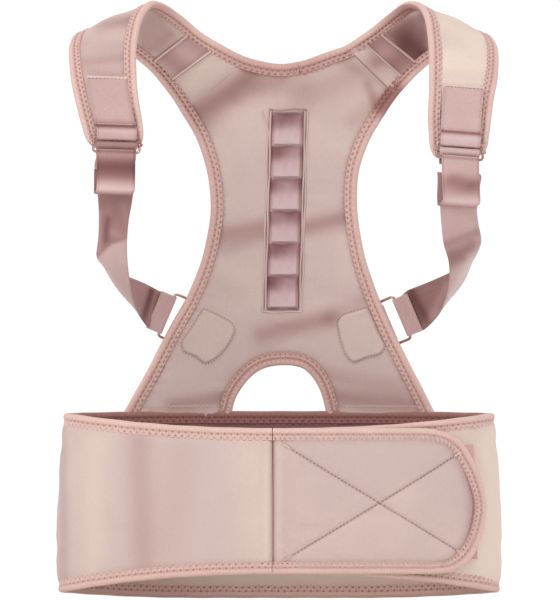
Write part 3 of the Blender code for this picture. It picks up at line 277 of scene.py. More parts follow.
def soft_polygon(x, z, corners, soft):
    """0..1 inside a front-view polygon with soft edges."""
    points = np.stack([x, z], -1)
    polygon = np.array(corners, float)
    distance, _ = near_polyline(points, np.vstack([polygon, polygon[:1]]))
    return smoothstep(-soft, soft, np.where(inside_polygon(points, polygon), distance, -distance))


def whole_cells(mask):
    """Grid cells whose four corners are all in the mask."""
    return mask[:-1, :-1] & mask[1:, :-1] & mask[1:, 1:] & mask[:-1, 1:]


def border(rows, columns, width):
    mask = np.zeros((rows, columns), bool)
    mask[:, :width] = mask[:, -width:] = True
    mask[:width] = mask[-width:] = True
    return mask


def refine(field, rows, columns):
    """A small field stretched to rows by columns with eased interpolation."""
    a = np.linspace(0, field.shape[0] - 1, rows)
    b = np.linspace(0, field.shape[1] - 1, columns)
    i = np.clip(a.astype(int), 0, field.shape[0] - 2)
    j = np.clip(b.astype(int), 0, field.shape[1] - 2)
    down, over = (a - i)[:, None], (b - j)[None, :]
    down, over = down * down * (3 - 2 * down), over * over * (3 - 2 * over)
    return ((1 - down) * (1 - over) * field[np.ix_(i, j)]
            + down * (1 - over) * field[np.ix_(i + 1, j)]
            + (1 - down) * over * field[np.ix_(i, j + 1)]
            + down * over * field[np.ix_(i + 1, j + 1)])


# ================================================================ the waist loop's surface
# s runs round the loop from the middle of the front towards +X
_angle = np.linspace(0, 2 * math.pi, 4001)
LOOP_X = np.sign(np.sin(_angle)) * np.abs(np.sin(_angle)) ** (2 / BELT_POWER)
LOOP_Y = -np.sign(np.cos(_angle)) * np.abs(np.cos(_angle)) ** (2 / BELT_POWER)
LOOP_S = np.r_[0, np.cumsum(np.hypot(np.diff(LOOP_X) * BELT_HALF_WIDTH,
                                     np.diff(LOOP_Y) * BELT_HALF_DEPTH))]
LOOP = LOOP_S[-1]
SIDE_S = LOOP / 4
BELT_MID_Z = 35.0


def loop_s(x):
    """Position round the front half of the loop at this x."""
    quarter = slice(0, 1000)
    s = np.interp(abs(x) / BELT_HALF_WIDTH, LOOP_X[quarter], LOOP_S[quarter])
    return math.copysign(float(s), x)


def half_width(z):
    above = np.clip((z - BELT_MID_Z) / 110, 0, None)
    below = np.clip((BELT_MID_Z - z) / 35, 0, None)
    return BELT_HALF_WIDTH - BELT_FLARE * above**2 - 2.4 * below**2


def belt_point(s, z, out):
    s, z, out = np.broadcast_arrays(*(np.asarray(a, float) for a in (s, z, out)))
    x = np.interp(np.mod(s, LOOP), LOOP_S, LOOP_X)
    y = np.interp(np.mod(s, LOOP), LOOP_S, LOOP_Y)
    normal_x = np.sign(x) * np.abs(x) ** (BELT_POWER - 1) / BELT_HALF_WIDTH
    normal_y = np.sign(y) * np.abs(y) ** (BELT_POWER - 1) / BELT_HALF_DEPTH
    size = np.hypot(normal_x, normal_y)
    return np.stack([x * half_width(z) + out * normal_x / size,
                     y * BELT_HALF_DEPTH + out * normal_y / size, z], -1)


def belt_normal(s):
    return unit(belt_point(s, BELT_MID_Z, 1.0) - belt_point(s, BELT_MID_Z, 0.0))


def belt_edges(s):
    """The heights of the belt's bottom and top edges."""
    point = belt_point(s, BELT_MID_Z, 0.0)
    side = np.abs(point[..., 0]) / BELT_HALF_WIDTH
    middle = np.clip(1 - side**2.2, 0, 1)
    at_front = point[..., 1] < 0
    flat = np.clip((side - 0.36) / 0.64, 0, 1)
    bottom = np.where(at_front, BELT_SIDE_BOTTOM + (BELT_FRONT_BOTTOM - BELT_SIDE_BOTTOM) * middle,
                      BELT_SIDE_BOTTOM * flat**2)
    top = np.where(at_front, BELT_SIDE_TOP - (BELT_SIDE_TOP - BELT_FRONT_TOP) * middle,
                   BELT_BACK_HEIGHT - (BELT_BACK_HEIGHT - BELT_SIDE_TOP) * flat**2)
    return bottom, top


# ================================================================ the back panel's surface
# (z, y) down the middle of the panel
PANEL_SPINE = curve([(149, 77.8), (190, 76.6), (235, 76.4), (320, 79), (390, 77), (425, 71.6),
                     (445, 66.5)], 200)


def panel_depth(x, z):
    x, z = np.asarray(x, float), np.asarray(z, float)
    centre = np.interp(z, PANEL_SPINE[:, 0], PANEL_SPINE[:, 1])
    rise = np.clip((z - 150) / 250, 0, 1)
    across = np.clip(np.abs(x) / BELT_HALF_WIDTH, 0, 0.999)
    around = BELT_HALF_DEPTH * (1 - (1 - across ** BELT_POWER) ** (1 / BELT_POWER))
    return centre - around * (1 + 0.35 * rise)


def panel_point(line):
    """Points of the panel's middle surface at (x, z)."""
    line = np.asarray(line, float)
    return np.stack([line[..., 0], panel_depth(line[..., 0], line[..., 1]), line[..., 1]], -1)


def panel_normal(line):
    """Rearward normals of the panel's middle surface at (x, z)."""
    point = panel_point(line)
    normal = np.cross(panel_point(line + [1, 0]) - point, panel_point(line + [0, 1]) - point)
    return pointing(unit(normal), REAR)


NECK = curve(NECK_EDGE, 121)
ARMHOLE = {side: curve(ARMHOLE_EDGE[side], 161) for side in SIDES}
ARCH = curve(ARCH_EDGE, 121)


def seam_ends(side):
    """The inner and outer ends of a yoke's seam, laid on the panel."""
    ends = np.array([YOKE_INNER[side][0], YOKE_OUTER[side][0]], float)
    ends[:, 1] = panel_depth(ends[:, 0], ends[:, 2])
    return ends


SEAMS = {side: seam_ends(side) for side in SIDES}


def seam_normal(side):
    """The upward normal of a yoke's seam, in (x, z)."""
    ends = SEAMS[side][:, [0, 2]]
    along = unit(ends[1] - ends[0])
    normal = np.array([-along[1], along[0]])
    return -normal if normal[1] < 0 else normal


def spine_x(z):
    return SPINE_X + SPINE_LEAN * (SPINE_TOP - z) / (SPINE_TOP - SPINE_BOTTOM)


# ================================================================ the closure tab's surface
SEAM_S = loop_s(WING_SEAM_X)
TAB_START = SEAM_S + 0.8


def outline_tab():
    """The tab's outline in (s, z), from the seam's top round the free end to its bottom."""
    end = np.array([(loop_s(x), z) for x, z in TAB_END])
    low, high = belt_edges(SEAM_S)
    run = np.linspace(TAB_START, end[0, 0], 14)
    top = np.stack([run, np.interp(run, [TAB_START, end[0, 0]], [high, end[0, 1]])], 1)
    back = run[::-1]
    bottom = np.stack([back, np.interp(back, [TAB_START, end[-1, 0]], [low, end[-1, 1]])], 1)
    outline = np.vstack([top[:-1], curve(end, 61), bottom[1:]])
    tip = float(end[:, 0].max())
    outline[:, 0] -= 2.8 * smoothstep(tip - 40, tip, outline[:, 0])
    return outline, tip


TAB_OUTLINE, TAB_TIP = outline_tab()


def end_stretch(s):
    """The binding lies flatter and wider round the tab's free end."""
    return 1 + 0.34 * smoothstep(TAB_TIP - 42, TAB_TIP - 10, s)


def tab_point(line, out=0.0):
    """Points on the tab, which rises off the belt next to its seam."""
    line = np.asarray(line, float)
    rise = -TAB_THICK / 2 + (TAB_STANDOFF + TAB_THICK) * smoothstep(0, 22.0, line[..., 0] - TAB_START)
    return belt_point(line[..., 0], line[..., 1], rise + out)


# ================================================================ the shoulder yokes' surfaces
def yoke_surface(side):
    """A function of t, from the seam to the front end, and s, from the outer edge to the inner."""
    inner, outer = np.array(YOKE_INNER[side], float), np.array(YOKE_OUTER[side], float)
    inner[0], outer[0] = SEAMS[side]
    knots = np.arange(YOKE_STEPS + 1) / YOKE_STEPS
    inner_edge, outer_edge = spline(inner, knots), spline(outer, knots)

    def at(t, s):
        t, s = np.broadcast_arrays(np.asarray(t, float), np.asarray(s, float))
        start, end = outer_edge(t.ravel()), inner_edge(t.ravel())
        return (start + (end - start) * s.ravel()[:, None]).reshape(*t.shape, 3)

    return at


YOKE = {side: yoke_surface(side) for side in SIDES}


def yoke_width(surface, t):
    return np.linalg.norm(surface(t, 1.0) - surface(t, 0.0), axis=-1)


def outward(surface, t, s):
    """Unit normal of a yoke, away from the wearer."""
    step_t, step_s = 0.004, 0.02
    along = surface(np.clip(t + step_t, 0, 1), s) - surface(np.clip(t - step_t, 0, 1), s)
    across = surface(t, s + step_s) - surface(t, s - step_s)
    normal = unit(np.cross(along, across))
    front = surface(1.0, 0.5)
    facing = np.cross(front - surface(0.97, 0.5), surface(1.0, 0.6) - front)
    return normal if facing[1] < 0 else -normal


def nudge(points):
    """The yokes' departures from their plain surface: fuller over the shoulder, and lower at
    the inner front corner. Rows are x, z, their two widths, and the lift."""
    points = np.array(points, float)
    x, z = points[..., 0].copy(), points[..., 2].copy()
    for centre_x, centre_z, wide, high, lift in (
            (-136.8, 464.8, 14.4, 10.4, 3.2), (142.4, 464.0, 14.4, 10.4, 2.9),
            (-112.0, 358.4, 5.6, 7.2, -0.6), (120.8, 352.0, 5.6, 7.2, -2.4)):
        points[..., 2] += lift * bell(x, centre_x, wide) * bell(z, centre_z, high)
    return points


def shoulder_hinge(side):
    """Where the yoke starts to bend away from the panel."""
    inner, outer = SEAMS[side]
    middle, along = (inner + outer) / 2, unit(outer - inner)
    over = np.array([-0.64 if side == "left" else 0.70, -0.35, 0.70])
    over = unit(over - along * (over @ along))
    return "back", f"shoulder_{side}", middle - over * 3, middle + over * 22


class StrapLine:
    """The middle line of the webbing on a yoke's front end: it follows the yoke, then hangs
    straight from a little above the slider."""

    # t of the patch's upper end in yoke steps, and its two edges as s
    SPAN = {"left": (9.6, 0.235, 0.855), "right": (10.5, 0.135, 0.80)}
    DROP = {"left": 48.5, "right": 45.0}    # from the patch's upper end to the slider's top bar

    def __init__(self, side):
        self.surface = YOKE[side]
        top, low, high = self.SPAN[side]
        self.bar = self.DROP[side]
        self.middle = self.bar + BAR_TOP_TO_MIDDLE
        self.bottom = self.middle + BAR_MIDDLE_TO_BOTTOM
        self.centre = (low + high) / 2
        self.line_t = np.linspace(top / YOKE_STEPS, 1, 60)
        self.line = self.surface(self.line_t, self.centre)
        self.run = lengths(self.line)
        bar_t = np.interp(self.bar, self.run, self.line_t)
        self.across = unit(self.surface(bar_t, 0.9) - self.surface(bar_t, 0.1))
        normal = outward(self.surface, bar_t, self.centre)
        self.normal = unit(normal - self.across * (normal @ self.across))
        down = unit(np.cross(self.across, self.normal))
        self.down = -down if down[2] > 0 else down
        self.bar_centre = self.point(self.bar, BAR_LEVEL)

    def point(self, down, out):
        if down < self.bar - 8:
            t = np.interp(down, self.run, self.line_t)
            normal = outward(self.surface, t, self.centre)
            return sample(down, self.run, self.line) + normal * out
        start = sample(self.bar, self.run, self.line)
        return start + self.down * (down - self.bar) + self.normal * out

    def points(self, path):
        return np.array([self.point(down, out) for down, out in path])

    def level(self, down):
        """A point in the slider's plane."""
        return self.bar_centre + self.down * (down - self.bar)


# ================================================================ procedural materials
def linear(red, green, blue):
    """An sRGB colour in 0..255 as linear RGBA."""
    c = np.array([red, green, blue], float) / 255
    values = np.where(c <= 0.04045, c / 12.92, ((c + 0.055) / 1.055) ** 2.4)
    return tuple(float(value) for value in values) + (1.0,)


class Shader:
    """A Principled material with short calls for its nodes."""

    def __init__(self, name):
        self.material = bpy.data.materials.new(name)
        self.material.use_nodes = True
        self.tree = self.material.node_tree
        self.bsdf = self.tree.nodes["Principled BSDF"]

    def put(self, socket, value):
        if isinstance(value, bpy.types.NodeSocket):
            self.tree.links.new(value, socket)
        elif value is not None:
            socket.default_value = value

    def node(self, kind, **inputs):
        node = self.tree.nodes.new(kind)
        for key, value in inputs.items():
            self.put(node.inputs[key.replace("_", " ")], value)
        return node

    def math(self, operation, *values):
        node = self.tree.nodes.new("ShaderNodeMath")
        node.operation = operation
        for socket, value in zip(node.inputs, values):
            self.put(socket, value)
        return node.outputs[0]

    def mix(self, factor, first, second, blend="MIX"):
        node = self.tree.nodes.new("ShaderNodeMix")
        node.data_type = "RGBA"
        node.blend_type = blend
        node.clamp_factor = True
        for index, value in ((0, factor), (6, first), (7, second)):
            self.put(node.inputs[index], value)
        return node.outputs[2]

    def attribute(self, name):
        node = self.tree.nodes.new("ShaderNodeAttribute")
        node.attribute_name = name
        return node.outputs["Fac"]

    def uv(self):
        node = self.tree.nodes.new("ShaderNodeUVMap")
        node.uv_map = "UVMap"
        parts = self.node("ShaderNodeSeparateXYZ", Vector=node.outputs[0])
        return parts.outputs[0], parts.outputs[1]

    def noise(self, scale, detail=2.0, rough=0.5):
        place = self.tree.nodes.new("ShaderNodeTexCoord")
        return self.node("ShaderNodeTexNoise", Vector=place.outputs["Object"], Scale=scale,
                         Detail=detail, Roughness=rough).outputs[0]

    def wave(self, x, pitch):
        """0..1 along x with this pitch in mm."""
        sine = self.math("SINE", self.math("MULTIPLY", x, 2 * math.pi / pitch))
        return self.math("MULTIPLY_ADD", sine, 0.5, 0.5)

    def smooth_range(self, value, low, high):
        node = self.node("ShaderNodeMapRange", Value=value, From_Min=low, From_Max=high)
        node.interpolation_type = "SMOOTHSTEP"
        return node.outputs[0]

    def finish(self, color, rough, height=None, bump=0.0, strength=0.6, sheen=0.0, metallic=0.0):
        """Sets the surface; bump is the bump map's distance in metres."""
        self.put(self.bsdf.inputs["Base Color"], color)
        self.put(self.bsdf.inputs["Roughness"], rough)
        self.put(self.bsdf.inputs["Metallic"], metallic)
        self.put(self.bsdf.inputs["Specular IOR Level"], 0.25 if metallic == 0 else 0.5)
        if sheen:
            self.put(self.bsdf.inputs["Sheen Weight"], sheen)
            self.put(self.bsdf.inputs["Sheen Roughness"], 0.45)
        if height is not None:
            node = self.node("ShaderNodeBump", Strength=strength, Distance=bump, Height=height)
            self.put(self.bsdf.inputs["Normal"], node.outputs[0])
        return self.material


# Each weave gives the cloth's height, 0..1; its pitches are in mm
def knit(s):
    along, across = s.uv()
    zigzag_ = s.math("MULTIPLY", s.wave(along, 0.9), 0.45)
    return s.math("MULTIPLY", s.wave(s.math("ADD", across, zigzag_), 0.75),
                  s.math("MULTIPLY_ADD", s.wave(along, 0.9), 0.5, 0.5))


def ribbed(s):
    along, across = s.uv()
    return s.math("MULTIPLY", s.math("MULTIPLY_ADD", s.wave(along, 1.25), 0.8, 0.2),
                  s.math("MULTIPLY_ADD", s.wave(across, 0.8), 0.15, 0.85))


def webbing_weave(s):
    along, across = s.uv()
    shift = s.math("MULTIPLY", s.wave(across, 1.6), 0.35)
    rows = s.wave(s.math("ADD", along, shift), 0.85)
    return s.math("MULTIPLY_ADD", rows, 0.6, s.math("MULTIPLY", s.wave(across, 1.6), 0.4))


def herringbone(s):
    along, across = s.uv()
    fold = s.math("PINGPONG", across, 2.2)
    return s.wave(s.math("ADD", along, s.math("MULTIPLY", fold, 1.15)), 1.25)


def pile(s):
    return s.noise(480.0, 4.0, 0.75)


def fabric(name, base, warm, dark, weave, rough=0.85, sheen=0.15, bump=0.00025, contrast=0.10,
           mottle=9.0):
    """Woven, knitted or ribbed cloth. The shade attribute is painted light and shade: below 0 it
    darkens and reddens the cloth as painted shade, above 0 it turns it to the warm colour as a painted
    highlight, which broad random mottling also does in part; groove mixes in the dark colour as painted
    shade in needle holes, seams and grooves. mottle scales the broad noise, contrast is the weave's
    share of the tone."""
    s = Shader(name)
    height = weave(s)
    broad = s.noise(mottle, 3.0)
    fine = s.noise(620.0, 2.0, 0.6)
    shade = s.attribute("shade")
    highlight_and_mottle = s.math("ADD", s.math("MULTIPLY", s.math("MAXIMUM", shade, 0.0), 8.0),
                 s.math("MULTIPLY", s.smooth_range(broad, 0.48, 0.70), 0.22))
    color = s.mix(highlight_and_mottle, linear(*base), linear(*warm))
    tone = s.math("ADD", s.math("MULTIPLY_ADD", height, contrast, 1 - contrast * 0.5),
                  s.math("MULTIPLY_ADD", fine, 0.14, -0.07))
    tone = s.math("MULTIPLY", tone, s.math("MULTIPLY_ADD", broad, 0.06, 0.97))
    # green and blue fall faster than red where the cloth is painted dark with shade
    down = s.math("MAXIMUM", s.math("ADD", 1.0, s.math("MINIMUM", shade, 0.0)), 0.05)
    red = s.math("MULTIPLY", tone, s.math("POWER", down, 2.2))
    other = s.math("MULTIPLY", s.math("POWER", tone, 1.15), s.math("POWER", down, 3.2))
    weave_and_shade = s.node("ShaderNodeCombineColor", Red=red, Green=other, Blue=other).outputs[0]
    color = s.mix(1.0, color, weave_and_shade, "MULTIPLY")
    # groove mixes in painted shade for needle holes, seams and grooves
    color = s.mix(s.attribute("groove"), color, linear(*dark))
    relief = s.math("ADD", s.math("MULTIPLY", height, 0.7), s.math("MULTIPLY", fine, 0.5))
    return s.finish(color, s.math("MULTIPLY_ADD", fine, 0.15, rough - 0.07), height=relief,
                    bump=bump, sheen=sheen)


def rose_metal():
    s = Shader("rose_metal")
    brushed = s.noise(420.0, 3.0, 0.6)
    wear = s.smooth_range(s.noise(60.0, 3.0), 0.45, 0.75)
    color = s.mix(wear, linear(196, 158, 150), linear(150, 110, 102))
    return s.finish(color, s.math("MULTIPLY_ADD", brushed, 0.16, 0.16), height=brushed,
                    bump=0.00006, strength=0.3, metallic=1.0)


def ferrite():
    s = Shader("magnet_ferrite")
    grain = s.noise(700.0, 4.0, 0.7)
    color = s.mix(grain, linear(40, 40, 43), linear(74, 73, 76))
    return s.finish(color, s.math("MULTIPLY_ADD", grain, 0.2, 0.35), height=grain, bump=0.0001,
                    metallic=0.5)


MATERIALS = {
    "body": fabric("knit_body", base=(214, 190, 185), warm=(234, 214, 200), dark=(120, 74, 70),
                   weave=knit, contrast=0.05, sheen=0.12),
    "binding": fabric("ribbed_binding", base=(222, 187, 179), warm=(232, 198, 188),
                      dark=(128, 78, 72), weave=ribbed, contrast=0.16, sheen=0.10, bump=0.0004,
                      mottle=30, rough=0.8),
    "webbing": fabric("satin_webbing", base=(203, 171, 168), warm=(222, 198, 196),
                      dark=(96, 54, 52), weave=webbing_weave, rough=0.50, sheen=0.20,
                      contrast=0.12, bump=0.0003, mottle=22),
    "spine": fabric("twill_tape", base=(207, 177, 178), warm=(220, 196, 196), dark=(124, 82, 80),
                    weave=herringbone, rough=0.55, sheen=0.15, contrast=0.20, bump=0.0004,
                    mottle=40),
    "loop": fabric("brushed_loop", base=(214, 175, 166), warm=(222, 186, 176),
                   dark=(150, 104, 98), weave=pile, rough=0.97, sheen=0.4, contrast=0.30,
                   bump=0.0009, mottle=60),
    "hook": fabric("hook_tape", base=(200, 164, 156), warm=(214, 180, 172), dark=(120, 84, 80),
                   weave=knit, rough=0.45, sheen=0.0, contrast=0.18, mottle=60),
    "thread": fabric("thread_pale", base=(232, 202, 194), warm=(240, 214, 206),
                     dark=(150, 104, 98), weave=webbing_weave, rough=0.6, sheen=0.2,
                     contrast=0.25, mottle=90),
    "thread_dark": fabric("thread_dark", base=(146, 96, 90), warm=(160, 110, 104),
                          dark=(80, 44, 42), weave=webbing_weave, rough=0.65, sheen=0.1,
                          contrast=0.25, mottle=90),
    "metal": rose_metal(),
    "magnet": ferrite(),
}


# ================================================================ mesh building
class Piece:
    """Collects closed parts of one object: points in pattern mm, with the shade values (painted light
    and shade) and groove values (painted shade in holes, seams and grooves) that colour them. A
    material is an index into the list given at the end."""

    def __init__(self):
        self.spots, self.uvs, self.shades, self.grooves, self.count = [], [], [], [], 0
        self.faces = {4: [], 3: []}
        self.face_materials = {4: [], 3: []}

    def points(self, points, uv=None, shade=0.0, groove=0.0):
        points = np.asarray(points, float)
        shape = points.shape[:-1]
        uv = np.zeros((*shape, 2)) if uv is None else np.broadcast_to(uv, (*shape, 2))
        self.spots.append(points.reshape(-1, 3))
        self.uvs.append(uv.reshape(-1, 2))
        self.shades.append(np.broadcast_to(shade, shape).reshape(-1))
        self.grooves.append(np.broadcast_to(groove, shape).reshape(-1))
        start = self.count
        self.count += points[..., 0].size
        return np.arange(start, self.count).reshape(shape)

    def polygons(self, *corners, mat=0):
        faces = np.stack([np.ravel(corner) for corner in corners], 1)
        self.faces[len(corners)].append(faces)
        self.face_materials[len(corners)].append(np.full(len(faces), mat))

    def both_faces(self, top, bottom, uv, shade, groove, shade_in, groove_in):
        """Points of a sheet's two faces; the second takes the first's colouring by default."""
        return (self.points(top, uv, shade, groove),
                self.points(bottom, uv, shade if shade_in is None else shade_in,
                            groove if groove_in is None else groove_in))

    def slab(self, top, bottom, uv, shade=0.0, groove=0.0, shade_in=None, groove_in=None):
        """A closed sheet between two matching (n, m, 3) grids."""
        a, b = self.both_faces(top, bottom, uv, shade, groove, shade_in, groove_in)
        self.polygons(a[:-1, :-1], a[1:, :-1], a[1:, 1:], a[:-1, 1:])
        self.polygons(b[:-1, :-1], b[:-1, 1:], b[1:, 1:], b[1:, :-1])
        for x, y in ((a[0], b[0]), (b[-1], a[-1]), (b[:, 0], a[:, 0]), (a[:, -1], b[:, -1])):
            self.polygons(x[:-1], x[1:], y[1:], y[:-1])

    def masked(self, keep, top, bottom, uv, shade=0.0, groove=0.0, shade_in=None, groove_in=None):
        """A closed sheet over the kept cells (n-1, m-1) of two matching grids (n, m, 3)."""
        a, b = self.both_faces(top, bottom, uv, shade, groove, shade_in, groove_in)
        i, j = np.nonzero(keep)
        cells = np.stack([a[i, j], a[i + 1, j], a[i + 1, j + 1], a[i, j + 1]], 1)
        shift = b[0, 0] - a[0, 0]
        self.polygons(*cells.T)
        self.polygons(*(cells[:, ::-1] + shift).T)
        edges = np.concatenate([cells[:, [k, (k + 1) % 4]] for k in range(4)])
        stride = self.count + 1
        key = edges[:, 0] * stride + edges[:, 1]
        reverse = edges[:, 1] * stride + edges[:, 0]
        rim = edges[~np.isin(key, reverse)]
        self.polygons(rim[:, 1], rim[:, 0], rim[:, 0] + shift, rim[:, 1] + shift)

    def tube(self, rings, uv=None, shade=0.0, groove=0.0, mat=0, loop=False):
        """Rings (n, k, 3) joined into a tube, capped unless it is a closed loop."""
        a = self.points(rings, uv, shade, groove)
        turned = np.roll(a, -1, 1)
        if loop:
            self.polygons(a, turned, np.roll(turned, -1, 0), np.roll(a, -1, 0), mat=mat)
            return
        self.polygons(a[:-1], turned[:-1], turned[1:], a[1:], mat=mat)
        for end in (0, -1):
            centre = self.points(rings[end].mean(0)[None], None, np.mean(shade))
            x, y = (a[end], turned[end]) if end else (turned[end], a[end])
            self.polygons(x, y, np.broadcast_to(centre, x.shape), mat=mat)

    def stitches(self, start, end, up, radius=0.34, rise=0.25, mat=1, shade=0.0):
        """Short threads, each an elongated eight-sided grain that bows out along up."""
        side = unit(np.cross(unit(end - start), up)) * radius
        lift = unit(up) * radius
        middle = (start + end) / 2 + unit(up) * rise
        points = np.stack([start, middle + side, middle + lift, middle - side, middle - lift, end],
                          1)
        ids = self.points(points, None, np.asarray(shade, float)[..., None])
        for k in range(4):
            x, y = ids[:, 1 + k], ids[:, 1 + (k + 1) % 4]
            self.polygons(ids[:, 0], x, y, mat=mat)
            self.polygons(ids[:, 5], y, x, mat=mat)

    def build(self, name, materials, sharp=50):
        """Makes the object; edges steeper than sharp degrees stay sharp."""
        quads, triangles = (np.concatenate([np.zeros((0, n), int)] + self.faces[n])
                            for n in (4, 3))
        corners = np.concatenate([quads.ravel(), triangles.ravel()])
        used, corners = np.unique(corners, return_inverse=True)
        corners = corners.reshape(-1).astype(np.int32)
        spots = to_metres(np.concatenate(self.spots))[used]
        mesh = bpy.data.meshes.new(name)
        mesh.vertices.add(len(spots))
        mesh.vertices.foreach_set("co", spots.ravel())
        mesh.loops.add(len(corners))
        mesh.loops.foreach_set("vertex_index", corners)
        mesh.polygons.add(len(quads) + len(triangles))
        starts = np.concatenate([np.arange(len(quads)) * 4,
                                 len(quads) * 4 + np.arange(len(triangles)) * 3])
        mesh.polygons.foreach_set("loop_start", starts.astype(np.int32))
        slots = np.concatenate(self.face_materials[4] + self.face_materials[3])
        mesh.polygons.foreach_set("material_index", slots.astype(np.int32))
        mesh.update(calc_edges=True)
        layer = mesh.uv_layers.new(name="UVMap")
        uv = np.concatenate(self.uvs)[used][corners]
        layer.data.foreach_set("uv", uv.astype(np.float32).ravel())
        for key, values in (("shade", self.shades), ("groove", self.grooves)):
            attribute = mesh.attributes.new(key, "FLOAT", "POINT")
            attribute.data.foreach_set("value", np.concatenate(values)[used].astype(np.float32))
        bm = bmesh.new()
        bm.from_mesh(mesh)
        bmesh.ops.recalc_face_normals(bm, faces=bm.faces[:])
        bm.to_mesh(mesh)
        bm.free()
        for key in materials:
            mesh.materials.append(MATERIALS[key])
        mesh.shade_smooth()
        mesh.set_sharp_from_angle(angle=math.radians(sharp))
        mesh.validate()
        obj = bpy.data.objects.new(name, mesh)
        scene.collection.objects.link(obj)
        return obj

    def ride(self, name, materials, body, *replaced, sharp=50):
        """Builds an object that moves with one body and stands in for CAD pieces."""
        obj = self.build(name, materials, sharp)
        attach(obj, body)
        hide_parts(*replaced)

    def bend(self, name, materials, hinge, *replaced, sharp=50):
        """Builds an object baked in place, parented to no body, that stands in for CAD pieces; hinge is
        (body, body, start, end) and is not used.
        """
        obj = self.build(name, materials, sharp)
        first, second, start, end = hinge
        Vector(to_metres(start))
        Vector(to_metres(end))
        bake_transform(obj)
        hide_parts(*replaced)


def round_rings(line, side, up, wide, high, sides):
    """Elliptical rings round a line; wide and high are radii along side and up."""
    angle = np.linspace(0, 2 * math.pi, sides + 1)[:-1][None, :, None]
    side, up = (np.broadcast_to(a, line.shape)[:, None] for a in (side, up))
    wide, high = (np.broadcast_to(a, len(line))[:, None, None] for a in (wide, high))
    return line[:, None] + side * wide * np.cos(angle) + up * high * np.sin(angle)


def rod(piece, line, radius, plane, loop=True):
    """Round wire through points; plane is the normal of the plane it lies in."""
    tangent = unit(np.roll(line, -1, 0) - np.roll(line, 1, 0) if loop
                   else np.gradient(line, axis=0))
    side = unit(np.cross(tangent, unit(plane)))
    piece.tube(round_rings(line, side, unit(np.cross(side, tangent)), radius, radius, 14),
               loop=loop)


def rounded_rectangle(centre, half_u, half_v, u, v, corner, steps=10):
    points = []
    for sign_u, sign_v, start in ((1, 1, 0), (-1, 1, 90), (-1, -1, 180), (1, -1, 270)):
        for k in range(steps + 1):
            a = math.radians(start + 90 * k / steps)
            points.append(centre + u * (sign_u * (half_u - corner) + corner * math.cos(a))
                          + v * (sign_v * (half_v - corner) + corner * math.sin(a)))
    return np.array(points)


# ---------------------------------------------------------------- seams
def zigzag(piece, line, across, up, pitch, wide, radius, mat=1):
    """A zigzag seam along a polyline."""
    across, up = np.broadcast_to(across, line.shape), np.broadcast_to(up, line.shape)
    knots = lengths(line)
    k = np.arange(0, int(knots[-1] / (pitch / 2)))
    x, following = k * pitch / 2, k * pitch / 2 + pitch / 2
    sign = np.where(k % 2 == 0, 1.0, -1.0)[:, None] * wide / 2
    piece.stitches(sample(x, knots, line) + sample(x, knots, across) * sign,
                   sample(following, knots, line) - sample(following, knots, across) * sign,
                   sample(x, knots, up), radius, 0.25, mat)


def running(piece, line, up, pitch, fill, radius, mat=1, rise=0.2):
    """A running stitch: dashes that fill part of each pitch along a polyline."""
    knots = lengths(line)
    k = np.arange(0, int(knots[-1] / pitch))
    piece.stitches(sample(k * pitch, knots, line), sample((k + fill) * pitch, knots, line),
                   sample(k * pitch, knots, np.broadcast_to(up, line.shape)), radius, rise, mat)


# ---------------------------------------------------------------- rolled, coverstitched bindings
# Half of the binding's section: distance in from the rolled edge, and height off its middle
PROFILE_ACROSS = np.array([0.0, 0.3, 0.9, 1.8, 2.8, 3.8, 4.7, 5.3, 5.9, 6.6, 7.3, 8.0, 8.6, 9.3,
                           9.9, 10.3])
PROFILE_HEIGHT = np.array([0.0, 1.35, 2.2, 2.78, 2.95, 2.88, 2.66, 2.42, 2.5, 2.6, 2.5, 2.34,
                           2.42, 2.5, 2.3, 1.2])
NEEDLE_ROWS = (5.6, 8.4)


